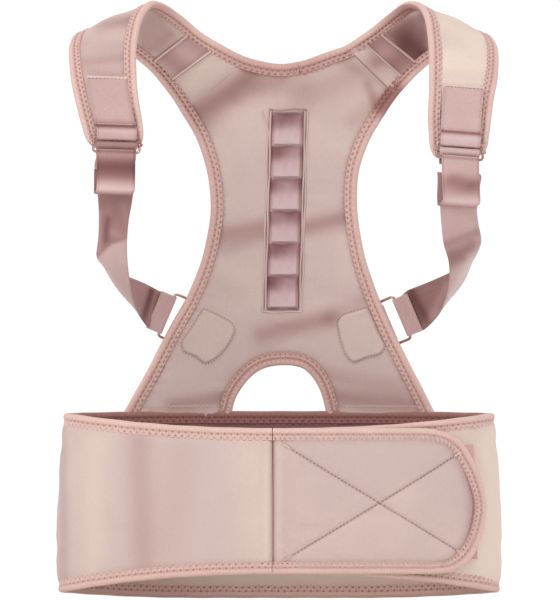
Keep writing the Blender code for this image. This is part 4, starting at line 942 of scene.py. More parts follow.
def binding(piece, outer, inward, normal, shade=0.0, shade_in=0.0, pitch=PITCH, width=BINDING,
            thick=BINDING_THICK, deep=1.0, rib=0.35, stretch=1.0, gather=0.0):
    """A rolled edge binding along outer (n, 3), with the coverstitch's needle holes, puckers and
    threads on both faces. deep scales the holes, rib the ridges, gather crowds both."""
    knots = lengths(outer)
    along = np.linspace(0, knots[-1], max(8, int(knots[-1] / 0.75)))
    line, inward, normal = (sample(along, knots, a) for a in (outer, unit(inward), unit(normal)))
    inward, normal = unit(inward), unit(normal)
    stretch, shade, shade_in, gather = (
        np.interp(along, knots, np.broadcast_to(a, knots.shape))
        for a in (stretch, shade, shade_in, gather))
    gather = gather[:, None]
    deep = deep * (1 + 0.9 * gather)
    rib = rib * (1 + 1.6 * gather)
    scale = width / BINDING
    section = PROFILE_ACROSS * scale
    section_height = PROFILE_HEIGHT * thick / BINDING_THICK
    face = np.r_[np.ones(len(section)), -np.ones(len(section) - 1)]
    position, across = np.meshgrid(along, np.r_[section, section[::-1][:-1]], indexing="ij")
    height = np.broadcast_to(np.r_[section_height, -section_height[::-1][:-1]],
                             position.shape).copy()
    holes = np.zeros_like(position)
    for row, offset in zip(NEEDLE_ROWS, (0.0, 0.5)):
        from_hole = (position / pitch - offset + 0.5) % 1 * pitch - pitch / 2
        apart = ((from_hole / (1.0 + 0.45 * gather)) ** 2
                 + ((across - row * scale) / (0.85 + 0.35 * gather)) ** 2)
        holes = np.maximum(holes, np.exp(-apart * 1.1))
        height -= face * 0.85 * deep * np.exp(-apart)
    # the roll swells between stitches, and the sewn edge is scalloped
    beat = np.cos(2 * math.pi * position / pitch)
    swell = beat * (0.16 * bell(across, 3.2 * scale, 2.2) + 0.22 * bell(across, 9.2 * scale, 1.2))
    wobble = 0.12 * np.sin(position / 7.3 + 1.3) + 0.09 * np.sin(position / 3.1)
    height += face * (swell + wobble * np.clip(across / 3, 0, 1)) * np.clip(across / 1.2, 0, 1)
    across = (across + 0.25 * beat * np.clip((across - 8.6 * scale) / 1.2, 0, 1)
              + 0.10 * np.sin(position / 5.3))
    ridge = np.clip(-beat, 0, 1) ** 2 * bell(across, 4.6 * scale, 2.0)
    height -= face * rib * 0.45 * ridge
    rings = (line[:, None] + inward[:, None] * (across * stretch[:, None])[..., None]
             + normal[:, None] * height[..., None])
    # painted shade along the sewn edge, in the grooves between the ribs and in a line by the first
    # needle row, and a painted highlight along the roll; the needle holes get painted shade through
    # groove
    tone = np.where(face > 0, shade[:, None], shade_in[:, None])
    sewn_edge = np.clip((across - 9.7 * scale) / 0.5, 0, 1) * 0.35
    tone = (tone - 0.16 * rib * ridge - 0.045 * bell(across, 5.0 * scale, 0.9)
            + 0.03 * bell(across, 2.2 * scale, 1.6))
    piece.tube(rings, np.stack([position, across + (face < 0) * 12], -1), tone - sewn_edge * 0.5,
               np.clip(holes * 0.80 * deep, 0, 0.9) + sewn_edge * 0.25)

    # threads cross from one needle row to the other
    k = np.arange(1, int(along[-1] / pitch * 2))
    k = k[(k * pitch / 2 > 1) & ((k + 1) * pitch / 2 < along[-1] - 1)]
    start, end = k * pitch / 2, (k + 1) * pitch / 2
    row_a, row_b = (row * scale for row in NEEDLE_ROWS)

    def spot(where, row, sign):
        up = unit(sample(where, along, normal)) * sign
        toward = unit(sample(where, along, inward))
        level = np.interp(row, section, section_height) - 0.15
        point = (sample(where, along, line)
                 + toward * (row * np.interp(where, along, stretch))[:, None] + up * level[:, None])
        return point, up

    for sign, tones in ((1, shade), (-1, shade_in)):
        first, up = spot(start, np.where(k % 2 == 0, row_a, row_b), sign)
        second, _ = spot(end, np.where(k % 2 == 0, row_b, row_a), sign)
        piece.stitches(first, second, up, 0.30, 0.30, 1, np.interp(start, along, tones))


def edge_puckers(from_edge, along, pinch, pinch_reach, pucker, reach, pitch=PITCH):
    """The change in a padded sheet's half thickness where it runs into its binding."""
    past = np.clip(from_edge - BINDING, 0, None)
    return (pucker * np.cos(2 * math.pi * along / pitch) * bell(past, 0, reach)
            - pinch * fade(from_edge, 9.6, pinch_reach))


# ---------------------------------------------------------------- webbing
def edge_bead(across, drop):
    """Thickness factor of webbing: a bead near each edge, then a fall of drop."""
    across = np.abs(across)
    return 1.0 + 0.28 * bell(across, 0.955, 0.03) - drop * np.clip((across - 0.975) / 0.025, 0, 1)


def strap_solid(piece, centre, across, width=WEBBING, bow=0.0, shade=0.0, normal_hint=None,
                ripple=0.05):
    """Webbing along centre (n, 3), with beaded edges and a slight ripple; returns its normals."""
    across = unit(np.broadcast_to(across, centre.shape))
    normal = unit(np.cross(unit(np.gradient(centre, axis=0)), across))
    if normal_hint is not None:
        normal = normal * np.sign((normal * normal_hint).sum(-1, keepdims=True))
    v = np.linspace(-1, 1, 21)
    v = np.sign(v) * np.abs(v) ** 0.8
    along = lengths(centre)[:, None]
    lift = bow + ripple * np.sin(along / 5.0 + v[None, :] * 2.0)
    saw = 0.16 * np.sin(along * 2 * math.pi / 1.7) * (np.abs(v)[None, :] > 0.99)
    sideways = (v * width / 2)[None, :] + saw * np.sign(v)[None, :]
    middle = centre[:, None] + across[:, None] * sideways[..., None]
    middle = middle + normal[:, None] * lift[..., None]
    half = normal[:, None] * (HALF_WEB * edge_bead(v, 0.75))[None, :, None]
    uv = np.stack(np.broadcast_arrays(along, v[None, :] * width / 2), -1)
    # a line of painted shade just inside each beaded edge
    piece.slab(middle + half, middle - half, uv, shade - 0.08 * bell(np.abs(v), 0.93, 0.03)[None, :])
    return normal


# ---------------------------------------------------------------- cloth simulation
def relax(grid, pinned, pressure, grow, most):
    """Simulates an open sheet in pattern mm, pinned where told, as cloth cut too large by grow and
    pressed outwards; returns how far each point moves along the sheet's normal, at most most."""
    rows, columns = grid.shape[:2]
    mesh = bpy.data.meshes.new("sim")
    ids = np.arange(rows * columns).reshape(rows, columns)
    quads = np.stack([ids[:-1, :-1].ravel(), ids[1:, :-1].ravel(), ids[1:, 1:].ravel(),
                      ids[:-1, 1:].ravel()], 1)
    before = to_metres(grid).reshape(-1, 3)
    mesh.from_pydata(before.tolist(), [], quads.tolist())
    obj = bpy.data.objects.new("sim", mesh)
    scene.collection.objects.link(obj)
    group = obj.vertex_groups.new(name="pin")
    group.add([int(k) for k in np.nonzero(pinned.ravel())[0]], 1.0, "REPLACE")
    cloth = obj.modifiers.new("Cloth", "CLOTH")
    settings = cloth.settings
    settings.quality = 6
    settings.mass = 0.25
    settings.tension_stiffness = settings.compression_stiffness = 20
    settings.shear_stiffness = 8
    settings.bending_stiffness = 2.5
    settings.effector_weights.gravity = 0.0
    settings.vertex_group_mass = "pin"
    settings.shrink_min = -grow
    settings.use_pressure = True
    settings.uniform_pressure_force = pressure
    cloth.collision_settings.use_collision = False
    frames = 16
    cloth.point_cache.frame_start, cloth.point_cache.frame_end = 1, frames
    for k in range(1, frames + 1):
        scene.frame_set(k)
    after = np.zeros(rows * columns * 3)
    evaluated = obj.evaluated_get(bpy.context.evaluated_depsgraph_get())
    evaluated.data.vertices.foreach_get("co", after)
    moved = (after.reshape(-1, 3) - before).reshape(rows, columns, 3) / MM
    bpy.data.objects.remove(obj, do_unlink=True)
    scene.frame_set(1)
    amount = np.nan_to_num((moved * grid_normals(grid)).sum(-1))
    return most * np.tanh(amount / most)


# ================================================================ back panel
PANEL_CELL = 1.5
PANEL_X = np.arange(-128, 128 + PANEL_CELL, PANEL_CELL)
PANEL_Z = np.arange(142, 450 + PANEL_CELL, PANEL_CELL)
PANEL_FOOT_Z = 144.5

# Soft folds as for bands(): the first table is their painted light and shade, the second their depth in
# mm
PANEL_TONES = [
    (-21.6, 420.8, -66.4, 388.8, 8.8, -0.15), (16.8, 411.2, -23.2, 411.2, 11.2, -0.05),
    (-39.2, 398.4, -59.2, 380.8, 8, -0.06), (-49.6, 289.6, -13.6, 297.6, 7.2, -0.11),
    (23.2, 297.6, 58.4, 304.8, 7.2, -0.12), (-43.2, 278.4, -13.6, 289.6, 6.4, -0.05),
    (-52, 358.4, -45.6, 314.4, 11.2, 0.035), (31.2, 366.4, 56.8, 358.4, 12.8, 0.02),
    (52.8, 286.4, 58.4, 262.4, 9.6, 0.03), (-13.6, 211.2, 40.8, 224, 8, -0.10),
    (40.8, 224, 66.4, 238.4, 7.2, -0.05), (-45.6, 268.8, -13.6, 246.4, 11.2, 0.03),
    (-85.6, 154.4, -34.4, 161.6, 6.4, -0.09), (40.8, 161.6, 106.4, 155.2, 7.2, -0.10),
    (21.6, 180.8, 96.8, 168, 8, -0.05), (80.8, 400, 58.4, 380.8, 6.4, -0.04),
    (71.2, 411.2, 77.6, 395.2, 4, -0.09), (51.2, 429.6, 91.2, 408, 4.8, -0.05),
    (58.4, 419.2, 16.8, 398.4, 11.2, -0.05), (-66.4, 411.2, -80.8, 404.8, 6.4, 0.05),
    (0.8, 416, -31.2, 401.6, 8, -0.06),
]
PANEL_FOLDS = [
    (-21.6, 420.8, -66.4, 388.8, 9.6, -1.6), (-49.6, 289.6, 58.4, 304, 8.8, -1.5),
    (-13.6, 211.2, 66.4, 236.8, 9.6, -1.3), (-52, 350.4, -45.6, 314.4, 14.4, 0.7),
    (52.8, 334.4, 56.8, 278.4, 14.4, 0.7), (-85.6, 156.8, -34.4, 163.2, 8, -0.8),
    (40.8, 163.2, 106.4, 156.8, 8, -0.8), (72, 411.2, 78.4, 393.6, 4.4, -0.7),
]


def panel_outline():
    """The panel's outline in (x, z), run a little way under the yokes and the belt."""
    seam = {side: SEAMS[side][:, [0, 2]] + seam_normal(side) * 6.0 for side in SIDES}
    left, right = ARMHOLE["left"], ARMHOLE["right"]
    foot = [[[line[end, 0], PANEL_FOOT_Z]]
            for line, end in ((right, -1), (ARCH, -1), (ARCH, 0), (left, -1))]
    return np.vstack([seam["left"][:1], NECK, seam["right"], right, foot[0], foot[1], ARCH[::-1],
                      foot[2], foot[3], left[::-1], seam["left"][1:]])


def past_seam(side, flat):
    """Distance past the yoke's seam, positive on the yoke's side."""
    off = (flat - SEAMS[side][0][[0, 2]]) @ seam_normal(side)
    near = flat[..., 0] < 0 if side == "left" else flat[..., 0] > 0
    return np.where(near, off, -50)


def face_finder(depth):
    """A function that lays (x, z) on the panel's face towards the wearer, lift mm proud of it."""

    def at(flat, lift=0.0):
        i = np.clip((flat[..., 0] - PANEL_X[0]) / PANEL_CELL, 0, len(PANEL_X) - 1.001)
        j = np.clip((flat[..., 1] - PANEL_Z[0]) / PANEL_CELL, 0, len(PANEL_Z) - 1.001)
        i0, j0 = i.astype(int), j.astype(int)
        u, v = i - i0, j - j0
        y = ((1 - u) * (1 - v) * depth[i0, j0] + u * (1 - v) * depth[i0 + 1, j0]
             + (1 - u) * v * depth[i0, j0 + 1] + u * v * depth[i0 + 1, j0 + 1])
        return np.stack([flat[..., 0], y - lift, flat[..., 1]], -1)

    return at


def build_back_panel():
    flat = np.stack(np.meshgrid(PANEL_X, PANEL_Z, indexing="ij"), -1)
    x, z = flat[..., 0], flat[..., 1]
    inside = inside_polygon(flat, panel_outline())
    near = [near_polyline(flat, line) for line in (NECK, ARMHOLE["left"], ARMHOLE["right"], ARCH)]
    distances = np.stack([distance for distance, _ in near])
    from_edge = distances.min(0)
    along = np.take_along_axis(np.stack([where for _, where in near]),
                               distances.argmin(0)[None], 0)[0]
    past = np.maximum(past_seam("left", flat), past_seam("right", flat))
    middle = panel_point(flat)

    # the sheet is pinned under its bindings, the spine tape and the yokes, and relaxes between
    coarse = (slice(None, None, 4), slice(None, None, 4))
    sparse = flat[coarse]
    in_tape = ((np.abs(sparse[..., 0] - spine_x(sparse[..., 1])) < 15)
               & (sparse[..., 1] > SPINE_BOTTOM - 3) & (sparse[..., 1] < SPINE_TOP + 3))
    pins = ~inside[coarse] | (from_edge[coarse] < 11) | in_tape | (past[coarse] > -4)
    puff = refine(relax(panel_point(sparse), pins, 0.25, grow=0.016, most=1.7), *x.shape)
    puff = puff * np.clip((from_edge - 10) / 8, 0, 1)

    folds = bands(x, z, PANEL_FOLDS) * np.clip((from_edge - 9) / 8, 0, 1)
    # fine wrinkles that run in from the armholes
    wrinkle = (0.16 * np.sin(z / 3.4 + 0.12 * x + 1.5 * np.sin(x / 21))
               * bell(from_edge, 16, 14) * (0.5 + 0.5 * np.sin(x / 17 + z / 31)))
    wrinkle += 0.10 * np.sin((x + 1.7 * z) / 9.0) * np.sin((x - z) / 14.0)
    level = PANEL_THICK / 2 + edge_puckers(from_edge, along, 0.9, 1.7, 0.42, 2.4)
    level += (0.20 * np.sin(2 * math.pi * along / 11.0 + 1.0)
              * bell(np.clip(from_edge - 11, 0, None), 0, 6.0))
    level -= 0.9 * smoothstep(-1.0, 3.0, past)    # thinner under the yokes
    tape_side = np.minimum(np.abs(x - spine_x(z) + 13.4), np.abs(x - spine_x(z) - 13.4))
    beside_tape = (z > SPINE_BOTTOM - 4) & (z < SPINE_TOP + 4)
    tape_groove = np.where(beside_tape, bell(tape_side, 0, 1.5), 0)
    normal = pointing(grid_normals(middle), REAR)
    middle = middle + normal * (folds * 0.9 - puff * 0.5 + wrinkle)[..., None]
    outer = middle + normal * level[..., None]
    inner = middle - normal * (level - 0.4 * tape_groove)[..., None]

    # painted light and shade of the folds, full on the face towards the wearer and weaker on the rear
    # face; painted shade along the binding's edge, in the needle holes beside it and in the grooves
    # beside the spine tape
    tone = bands(x, z, PANEL_TONES) * 1.25
    edge_tone = -0.10 * fade(from_edge, 9.9, 1.5)
    dots = (np.clip(np.cos(2 * math.pi * along / PITCH), 0, 1) ** 2
            * bell(from_edge, 10.6, 0.8) * 0.35)
    piece = Piece()
    piece.masked(whole_cells(inside & (from_edge > 4.2)), outer, inner, flat,
                 tone * 0.6 + edge_tone, dots * 0.5,
                 tone + edge_tone - 0.12 * tape_groove, dots + tape_groove * 0.12)
    # the sewn foot along the belt
    on_face = face_finder(inner[..., 1])
    for x0, x1 in ((-117, -50), (53, 118)):
        foot = np.stack([np.linspace(x0, x1, 40), np.full(40, 153.4)], 1)
        zigzag(piece, on_face(foot, 0.1), UP, FORWARD, 3.0, 2.4, 0.38)
    piece.ride("back_panel_fabric", ["body", "thread"], "back", "back_panel")
    return on_face


# ================================================================ edge bindings
# Painted shade on the face towards the wearer, and where the binding is gathered over the shoulders
EDGE_TONES = [(-68, 392.8, -63.2, 382.4, 7.2, -0.14), (94.4, 404.8, 84.8, 392, 8, -0.30),
              (-32.8, 384, -51.2, 408, 7.2, -0.05), (-51.2, 408, -66.4, 428.8, 6.4, -0.10),
              (-51.2, 428.8, 52.8, 428.8, 11.2, -0.10)]
EDGE_GATHERS = [(-106.4, 462.4, -59.2, 428.8, 12.8, 1.0), (-106.4, 446.4, -63.2, 388.8, 12.8, 1.0),
                (106.4, 465.6, 58.4, 433.6, 12.8, 0.8), (111.2, 446.4, 69.6, 398.4, 12.8, 1.0)]


def yoke_path(side, radius=11.0):
    """(t, s) along the yoke's outer edge, round its front end and back along its inner edge."""
    surface = YOKE[side]
    width = float(yoke_width(surface, 0.99))
    length = float(np.linalg.norm(surface(1.0, 0.5) - surface(0.96, 0.5))) / 0.04
    corner_t, corner_s = radius / length, radius / width
    quarter = np.radians(np.linspace(0, 90, 14))
    down = np.linspace(0, 1 - corner_t, 150)
    path = [(t, 0.0) for t in down[:-1]]
    path += [(1 - corner_t + corner_t * math.sin(a), corner_s - corner_s * math.cos(a))
             for a in quarter]
    path += [(1.0, s) for s in np.linspace(corner_s, 1 - corner_s, 14)[1:-1]]
    path += [(1 - corner_t + corner_t * math.cos(a), 1 - corner_s + corner_s * math.sin(a))
             for a in quarter]
    path += [(t, 1.0) for t in down[::-1][1:]]
    return np.array(path)


def build_edge_binding(side):
    """One binding from the belt up the armhole, round the yoke, to the middle of the neck."""
    surface, armhole = YOKE[side], ARMHOLE[side]
    low = np.vstack([[armhole[-1] + (armhole[-1] - armhole[-4]) * 1.2], armhole[::-1]])
    t, s = yoke_path(side).T
    half_neck = NECK[:61] if side == "left" else NECK[60:][::-1]
    line = np.vstack([panel_point(low)[:-1], surface(t, s), panel_point(half_neck)[1:]])
    normal = np.vstack([panel_normal(low)[:-1], outward(surface, np.clip(t, 0.004, 0.996), s),
                        panel_normal(half_neck)[1:]])
    knots = lengths(line)
    along = np.linspace(0, knots[-1], int(knots[-1]))
    line = nudge(smoothed(sample(along, knots, line), 4))
    normal = unit(smoothed(sample(along, knots, normal), 6))
    tangent = unit(np.gradient(line, axis=0))
    inward = unit(np.cross(normal, tangent)) * (1.0 if side == "left" else -1.0)
    normal = pointing(unit(np.cross(tangent, inward)), normal)
    x, y, z = line.T
    # painted shade on the face towards the wearer, deeper towards the front and more on the right, also
    # in the gathers and the table's streaks; slight painted shade on the outer face towards the front
    tone_in = -0.10 * smoothstep(60, 10, y) * (1.0 if side == "left" else 2.2)
    tone_in += bands(x, z, EDGE_TONES)
    gather = np.clip(bands(x, z, EDGE_GATHERS), 0, 1) * smoothstep(-20, 20, y)
    piece = Piece()
    binding(piece, line, inward, normal, shade=-0.02 * smoothstep(20, -30, y),
            shade_in=tone_in - 0.05 * gather, gather=gather)
    piece.bend(f"edge_binding_{side}", ["binding", "thread"], shoulder_hinge(side),
               f"armhole_binding_{side}", f"yoke_outer_binding_{side}",
               f"yoke_inner_binding_{side}", "neck_binding")


def build_arch_binding():
    """The arch's rolled edge faces the hole, its sewn edge lies on the panel."""
    line = np.vstack([[ARCH[0, 0] - 1.2, 146.5], ARCH, [ARCH[-1, 0] + 1.2, 146.5]])
    line = smoothed(even(panel_point(line), 1.0), 3)
    tangent = unit(np.gradient(line, axis=0))
    normal = pointing(unit(np.cross(tangent, unit(np.cross(REAR, tangent)))), REAR)
    hole_centre = np.array([2.0, 76, 150])
    inward = pointing(unit(np.cross(normal, tangent)), line - hole_centre)
    piece = Piece()
    # slight painted shade on both faces
    binding(piece, line, inward, normal, pitch=3.5, width=10.2, shade=-0.02, shade_in=-0.04,
            rib=0.9)
    piece.ride("arch_edge_binding", ["binding", "thread"], "back", "arch_binding")


# ================================================================ spine pocket tape
def add_pocket_tape(piece):
    """The tape itself: each pocket rises from its upper seam and falls at the next one."""
    z, across = np.meshgrid(np.linspace(SPINE_TOP + 1.0, SPINE_BOTTOM - 1.0, 241),
                            np.linspace(-12.6, 12.6, 45), indexing="ij")
    pockets = (SPINE_TOP - z) / POCKET_PITCH
    phase = pockets - np.floor(pockets)
    index = np.clip(np.floor(pockets), 0, POCKETS - 1)
    rise = (smoothstep(0.0, 0.20, phase) * (0.78 + 0.22 * smoothstep(0.2, 0.8, phase))
            * smoothstep(1.0, 0.94, phase))
    side_fall = smoothstep(12.4, 9.6, np.abs(across))
    height = 1.5 + 4.0 * rise * side_fall
    height += (0.35 * np.sin(across * 0.9 + index * 2.1 + 3 * phase) * rise * side_fall
               * smoothstep(1.0, 0.5, phase))
    height += 0.20 * np.sin((across + z) * 0.55 + index) * side_fall
    height *= smoothstep(12.6, 12.2, np.abs(across)) * 0.25 + 0.75
    base = on_panel(np.stack([spine_x(z) + across, z], -1))
    # painted shadow just below each seam, where the pocket above overhangs, with a toothed upper edge,
    # and painted light low in each pocket; painted shade towards the tape's edges and on its left half;
    # groove is painted shade along the seams
    teeth = (phase * POCKET_PITCH
             + 0.8 * np.abs(((across / 2.6 + index * 0.37) % 1) * 2 - 1))
    tone = (-0.30 * smoothstep(0.2, 1.4, teeth) * smoothstep(0.62, 0.10, phase)
            * (0.75 + 0.25 * np.cos(across / 5 + index * 1.7)) + 0.05 * smoothstep(0.45, 0.85, phase))
    tone -= 0.10 * smoothstep(9.5, 12.0, np.abs(across))
    tone -= 0.10 * bell(phase, 0.3, 0.2) * smoothstep(2, -10, across)
    groove = 0.35 * bell(np.minimum(phase, 1 - phase) * POCKET_PITCH, 0, 0.7)
    piece.slab(base + FORWARD * height[..., None], base + REAR * 0.5, np.stack([z, across], -1),
               tone, groove)


def build_spine_tape():
    pale, dark, cloth = 1, 2, 3
    piece = Piece()
    add_pocket_tape(piece)
    # cross seams between the pockets
    for k in range(POCKETS + 1):
        nudged = {0: 0.8, POCKETS: 0.6}.get(k, 0.0)
        z = SPINE_TOP - POCKET_PITCH * k + nudged
        across = np.linspace(-11.6, 11.6, 20)
        seam = np.stack([spine_x(z) + across, z + 0.5 * np.sin(across * 0.4 + k * 1.3)], 1)
        zigzag(piece, on_panel(seam, 2.0), UP, FORWARD, 2.2, 1.5, 0.30,
               mat=dark if k == POCKETS else pale)
    # two long welts on each side, the outer one flared at the upper left
    z = np.linspace(SPINE_TOP + 1.5, SPINE_BOTTOM - 2.0, 160)
    for sign in (-1, 1):
        flare = 5.0 * smoothstep(SPINE_TOP - 16, SPINE_TOP + 2, z) if sign < 0 else 0.0
        for offset, radius, flared in ((13.6, 1.05, 0.0), (15.6, 0.75, 1.0)):
            x = (spine_x(z) + sign * (offset + flare * flared)
                 + 0.30 * np.sin(z / 9.0 + offset) + 0.12 * np.sin(z / 3.1))
            angle = np.linspace(0, 2 * math.pi, 9)[:-1]
            rings = round_rings(on_panel(np.stack([x, z], 1), 0.45), np.array([1.0, 0, 0]),
                                FORWARD, radius, 0.9 * radius, 8)
            uv = np.stack(np.broadcast_arrays(z[:, None], angle * radius), -1)
            piece.tube(rings, uv, mat=cloth)
        # dark thread in the gaps: offset, sway, lift, pitch, fill, radius
        for offset, sway, lift, pitch, fill, radius in ((12.75, 0.2, 1.5, 2.4, 0.92, 0.36),
                                                        (14.65, 0.25, 0.25, 2.2, 0.95, 0.38)):
            x = spine_x(z) + sign * offset + sway * np.sin(z / 9.0)
            running(piece, on_panel(np.stack([x, z], 1), lift), FORWARD, pitch, fill, radius,
                    mat=dark)

    def end_line(z, sway):
        across = np.linspace(-15.5, 15.5, 40)
        return on_panel(np.stack([spine_x(z) + across, z + sway * np.sin(across / 4.0)], 1), 0.35)

    # dark stitches across the top, a welt across the bottom with a slight painted highlight
    running(piece, end_line(SPINE_TOP + 2.6, 0.6), FORWARD, 2.4, 0.85, 0.34, mat=dark)
    piece.tube(round_rings(end_line(SPINE_BOTTOM - 2.6, 0.3), UP, FORWARD, 0.9, 0.9, 8),
               shade=0.02, mat=cloth)
    piece.ride("spine_pocket_tape_woven", ["spine", "thread", "thread_dark", "body"], "back",
               "spine_pocket_tape")


# ================================================================ patches over the ring tabs
# Outlines as (x, z)
STRAP_PATCH = {
    "left": [(-60.8, 232), (-47.2, 226), (-36.8, 219.2), (-34.8, 214.4), (-37.6, 206.4),
             (-45.6, 195.2), (-53.6, 188.8), (-58.4, 186.8), (-67.2, 192.4), (-77.6, 198.4),
             (-78.4, 202.4), (-71.2, 215.2)],
    "right": [(71.2, 232.8), (59.2, 229.6), (49.6, 225.6), (46.4, 220.8), (47.2, 212.8),
              (49.6, 202.4), (53.6, 192.8), (57.6, 188.4), (71.2, 191.6), (82.4, 195.6),
              (84.8, 199.2), (79.2, 214.4)],
}


def build_strap_patch(side):
    corners = STRAP_PATCH[side]
    outline = even(curve(corners + corners[:1], 200), count=160)
    (low_x, low_z), (high_x, high_z) = outline.min(0) - 2, outline.max(0) + 2
    cell = 0.8
    flat = np.stack(np.meshgrid(np.arange(low_x, high_x, cell), np.arange(low_z, high_z, cell),
                                indexing="ij"), -1)
    distance, along = near_polyline(flat, outline)
    depth = np.where(inside_polygon(flat, outline), distance, -distance)
    rise = 1.7 * smoothstep(-0.9, 3.0, depth) - 0.5 * smoothstep(0.0, -1.4, depth)
    rise -= 1.1 * bell(depth, 0.35, 0.8)
    rise += 0.16 * np.cos(2 * math.pi * along / 3.0) * bell(depth, 1.8, 1.2)
    rise += 0.15 * np.sin(flat[..., 0] / 6.0 + flat[..., 1] / 9.0) * smoothstep(1, 6, depth)
    # a slight painted highlight on the patch, and painted shade in the groove along its sunken outline
    piece = Piece()
    piece.masked(whole_cells(depth > -1.6), on_panel(flat, rise), on_panel(flat, -0.9), flat,
                 0.015, 0.62 * bell(depth, 0.35, 0.7))
    running(piece, on_panel(even(outline, count=220), 0.25), FORWARD, 2.6, 0.66, 0.30)
    piece.ride(f"strap_patch_fabric_{side}", ["body", "thread_dark"], "back",
               f"strap_patch_{side}")


# ================================================================ shoulder yokes
# Painted light and shade as for bands(), on the outer face and on the face towards the wearer
YOKE_TONES_OUT = {
    "left": [(-143.2, 460.8, -120.8, 462.4, 7.2, -0.17), (-156, 428.8, -124, 432, 4, -0.05),
             (-151.2, 420.8, -125.6, 419.2, 3.2, -0.05), (-154.4, 446.4, -127.2, 443.2, 9.6, -0.05),
             (-154.4, 428.8, -124, 428.8, 12.8, -0.07), (-152.8, 364, -112.8, 366.4, 4.8, -0.10)],
    "right": [(132.8, 459.2, 160.8, 446.4, 8, 0.07), (136.8, 430.4, 160.8, 430.4, 12.8, 0.09),
              (136.8, 411.2, 160.8, 409.6, 5.6, 0.05), (127.2, 382.4, 133.6, 358.4, 3.2, -0.12)],
}
YOKE_TONES_IN = {
    "left": [(-95.2, 438.4, -85.6, 449.6, 4.8, -0.08), (-59.2, 430.4, -71.2, 411.2, 8, 0.06)],
    "right": [(101.6, 448, 116, 432, 7.2, -0.16), (111.2, 464, 117.6, 459.2, 6.4, 0.10),
              (77.6, 428.8, 95.2, 436.8, 8, -0.16)],
}
# A shadow on the face towards the wearer: corners (x, z), and its tone
YOKE_SHADOW = {
    "left": ([(-113.6, 454.4), (-106.4, 468.8), (-95.2, 470.4), (-85.6, 451.2), (-103.2, 434.4),
              (-111.2, 438.4)], -0.10),
    "right": ([(84, 451.2), (100, 462.4), (116, 470.4), (119.2, 462.4), (119.2, 425.6),
               (112.8, 424)], -0.30),
}


def relax_yoke(surface, length, inset, rows, columns):
    """How far the yoke's padding puffs outwards, as a rows by columns field."""
    few_rows, few_columns = rows // 4 + 1, columns // 2 + 1
    inset = np.interp(np.linspace(0, 1, few_rows), np.linspace(0, 1, rows), inset)[:, None]
    grid = surface(np.linspace(0.0, 1 - 5.0 / length, few_rows)[:, None],
                   inset + (1 - 2 * inset) * np.linspace(0, 1, few_columns)[None, :])
    moved = relax(grid, border(few_rows, few_columns, 2), 0.5, grow=0.012, most=1.1)
    normal = grid_normals(grid)[few_rows // 2, few_columns // 2]
    return refine(moved, rows, columns) * np.sign(normal @ outward(surface, 0.5, 0.5))


def build_yoke_fabric(side):
    surface = YOKE[side]
    rows, columns = 200, 40
    t = np.linspace(0.0, 1, rows)
    width = yoke_width(surface, t)
    inset = 5.2 / width
    s = inset[:, None] + (1 - 2 * inset)[:, None] * np.linspace(0, 1, columns)[None, :]
    run = lengths(surface(t, 0.5))
    length = run[-1]
    # keep the sheet's front corners inside the rounded binding
    grid_t = np.repeat(t[:, None], columns, 1)
    rounding = 0.9 * np.abs(np.linspace(-1, 1, columns))[None, :] ** 6 * (grid_t > 0.9)
    grid_t = np.minimum(grid_t, 1 - (1 + rounding) * 5.0 / length)
    normal = outward(surface, np.clip(grid_t, 0.003, 0.997), s).reshape(rows, -1)
    normal = unit(smoothed(normal, 2).reshape(rows, columns, 3))
    puff = relax_yoke(surface, length, inset, rows, columns)
    from_edge = np.minimum(s, 1 - s) * width[:, None]
    along = np.repeat(run[:, None], columns, 1)
    # creases, deepest over the shoulder
    crest = (0.35 * np.sin(along / 4.2 + s * 3.0) * bell(along, length * 0.52, 26)
             + 0.18 * np.sin(along / 6.5 + s * 5.0)) * np.clip((from_edge - 9) / 6, 0, 1)
    level = PANEL_THICK / 2 + edge_puckers(from_edge, along, 0.8, 1.8, 0.35, 2.2)
    # at the seam the right yoke stands proud of the panel towards the wearer, the left is sunk; the
    # right yoke also gets a slight painted highlight all over and a line of painted shadow along its
    # lapped seam
    if side == "right":
        lap = bell(along, 0, 9.0) * smoothstep(-0.5, 1.4, along)
        warm, seam_groove = 0.05, 0.75
    else:
        lap = -0.9 * bell(along, 0, 3.0)
        warm, seam_groove = 0.0, 0.0
    middle = nudge(surface(grid_t, s))
    outer = middle + normal * (level + puff * 0.6 + crest)[..., None]
    inner = middle - normal * (level - puff * 0.3 - crest * 0.5 + lap)[..., None]
    # painted light and shade on both faces; the left's face towards the wearer carries on the panel's
    # painted fold shade, and the outer face has painted shade along the binding
    tone = bands(outer[..., 0], outer[..., 2], YOKE_TONES_OUT[side])
    tone = tone * smoothstep(10, -20, outer[..., 1])
    x, y, z = np.moveaxis(inner, -1, 0)
    corners, shadow = YOKE_SHADOW[side]
    tone_in = bands(x, z, YOKE_TONES_IN[side]) + soft_polygon(x, z, corners, 4) * shadow
    tone_in = tone_in * smoothstep(-30, 5, y)
    if side == "left":
        tone_in = tone_in + bands(x, z, PANEL_TONES[:1])
    piece = Piece()
    piece.slab(outer, inner, np.stack([along, s * width[:, None]], -1),
               tone + warm - 0.08 * fade(from_edge, 9.9, 1.4), 0.0,
               tone_in, seam_groove * bell(along, 0, 0.9))
    piece.bend(f"yoke_fabric_{side}", ["body"], shoulder_hinge(side), f"yoke_{side}")
    return length


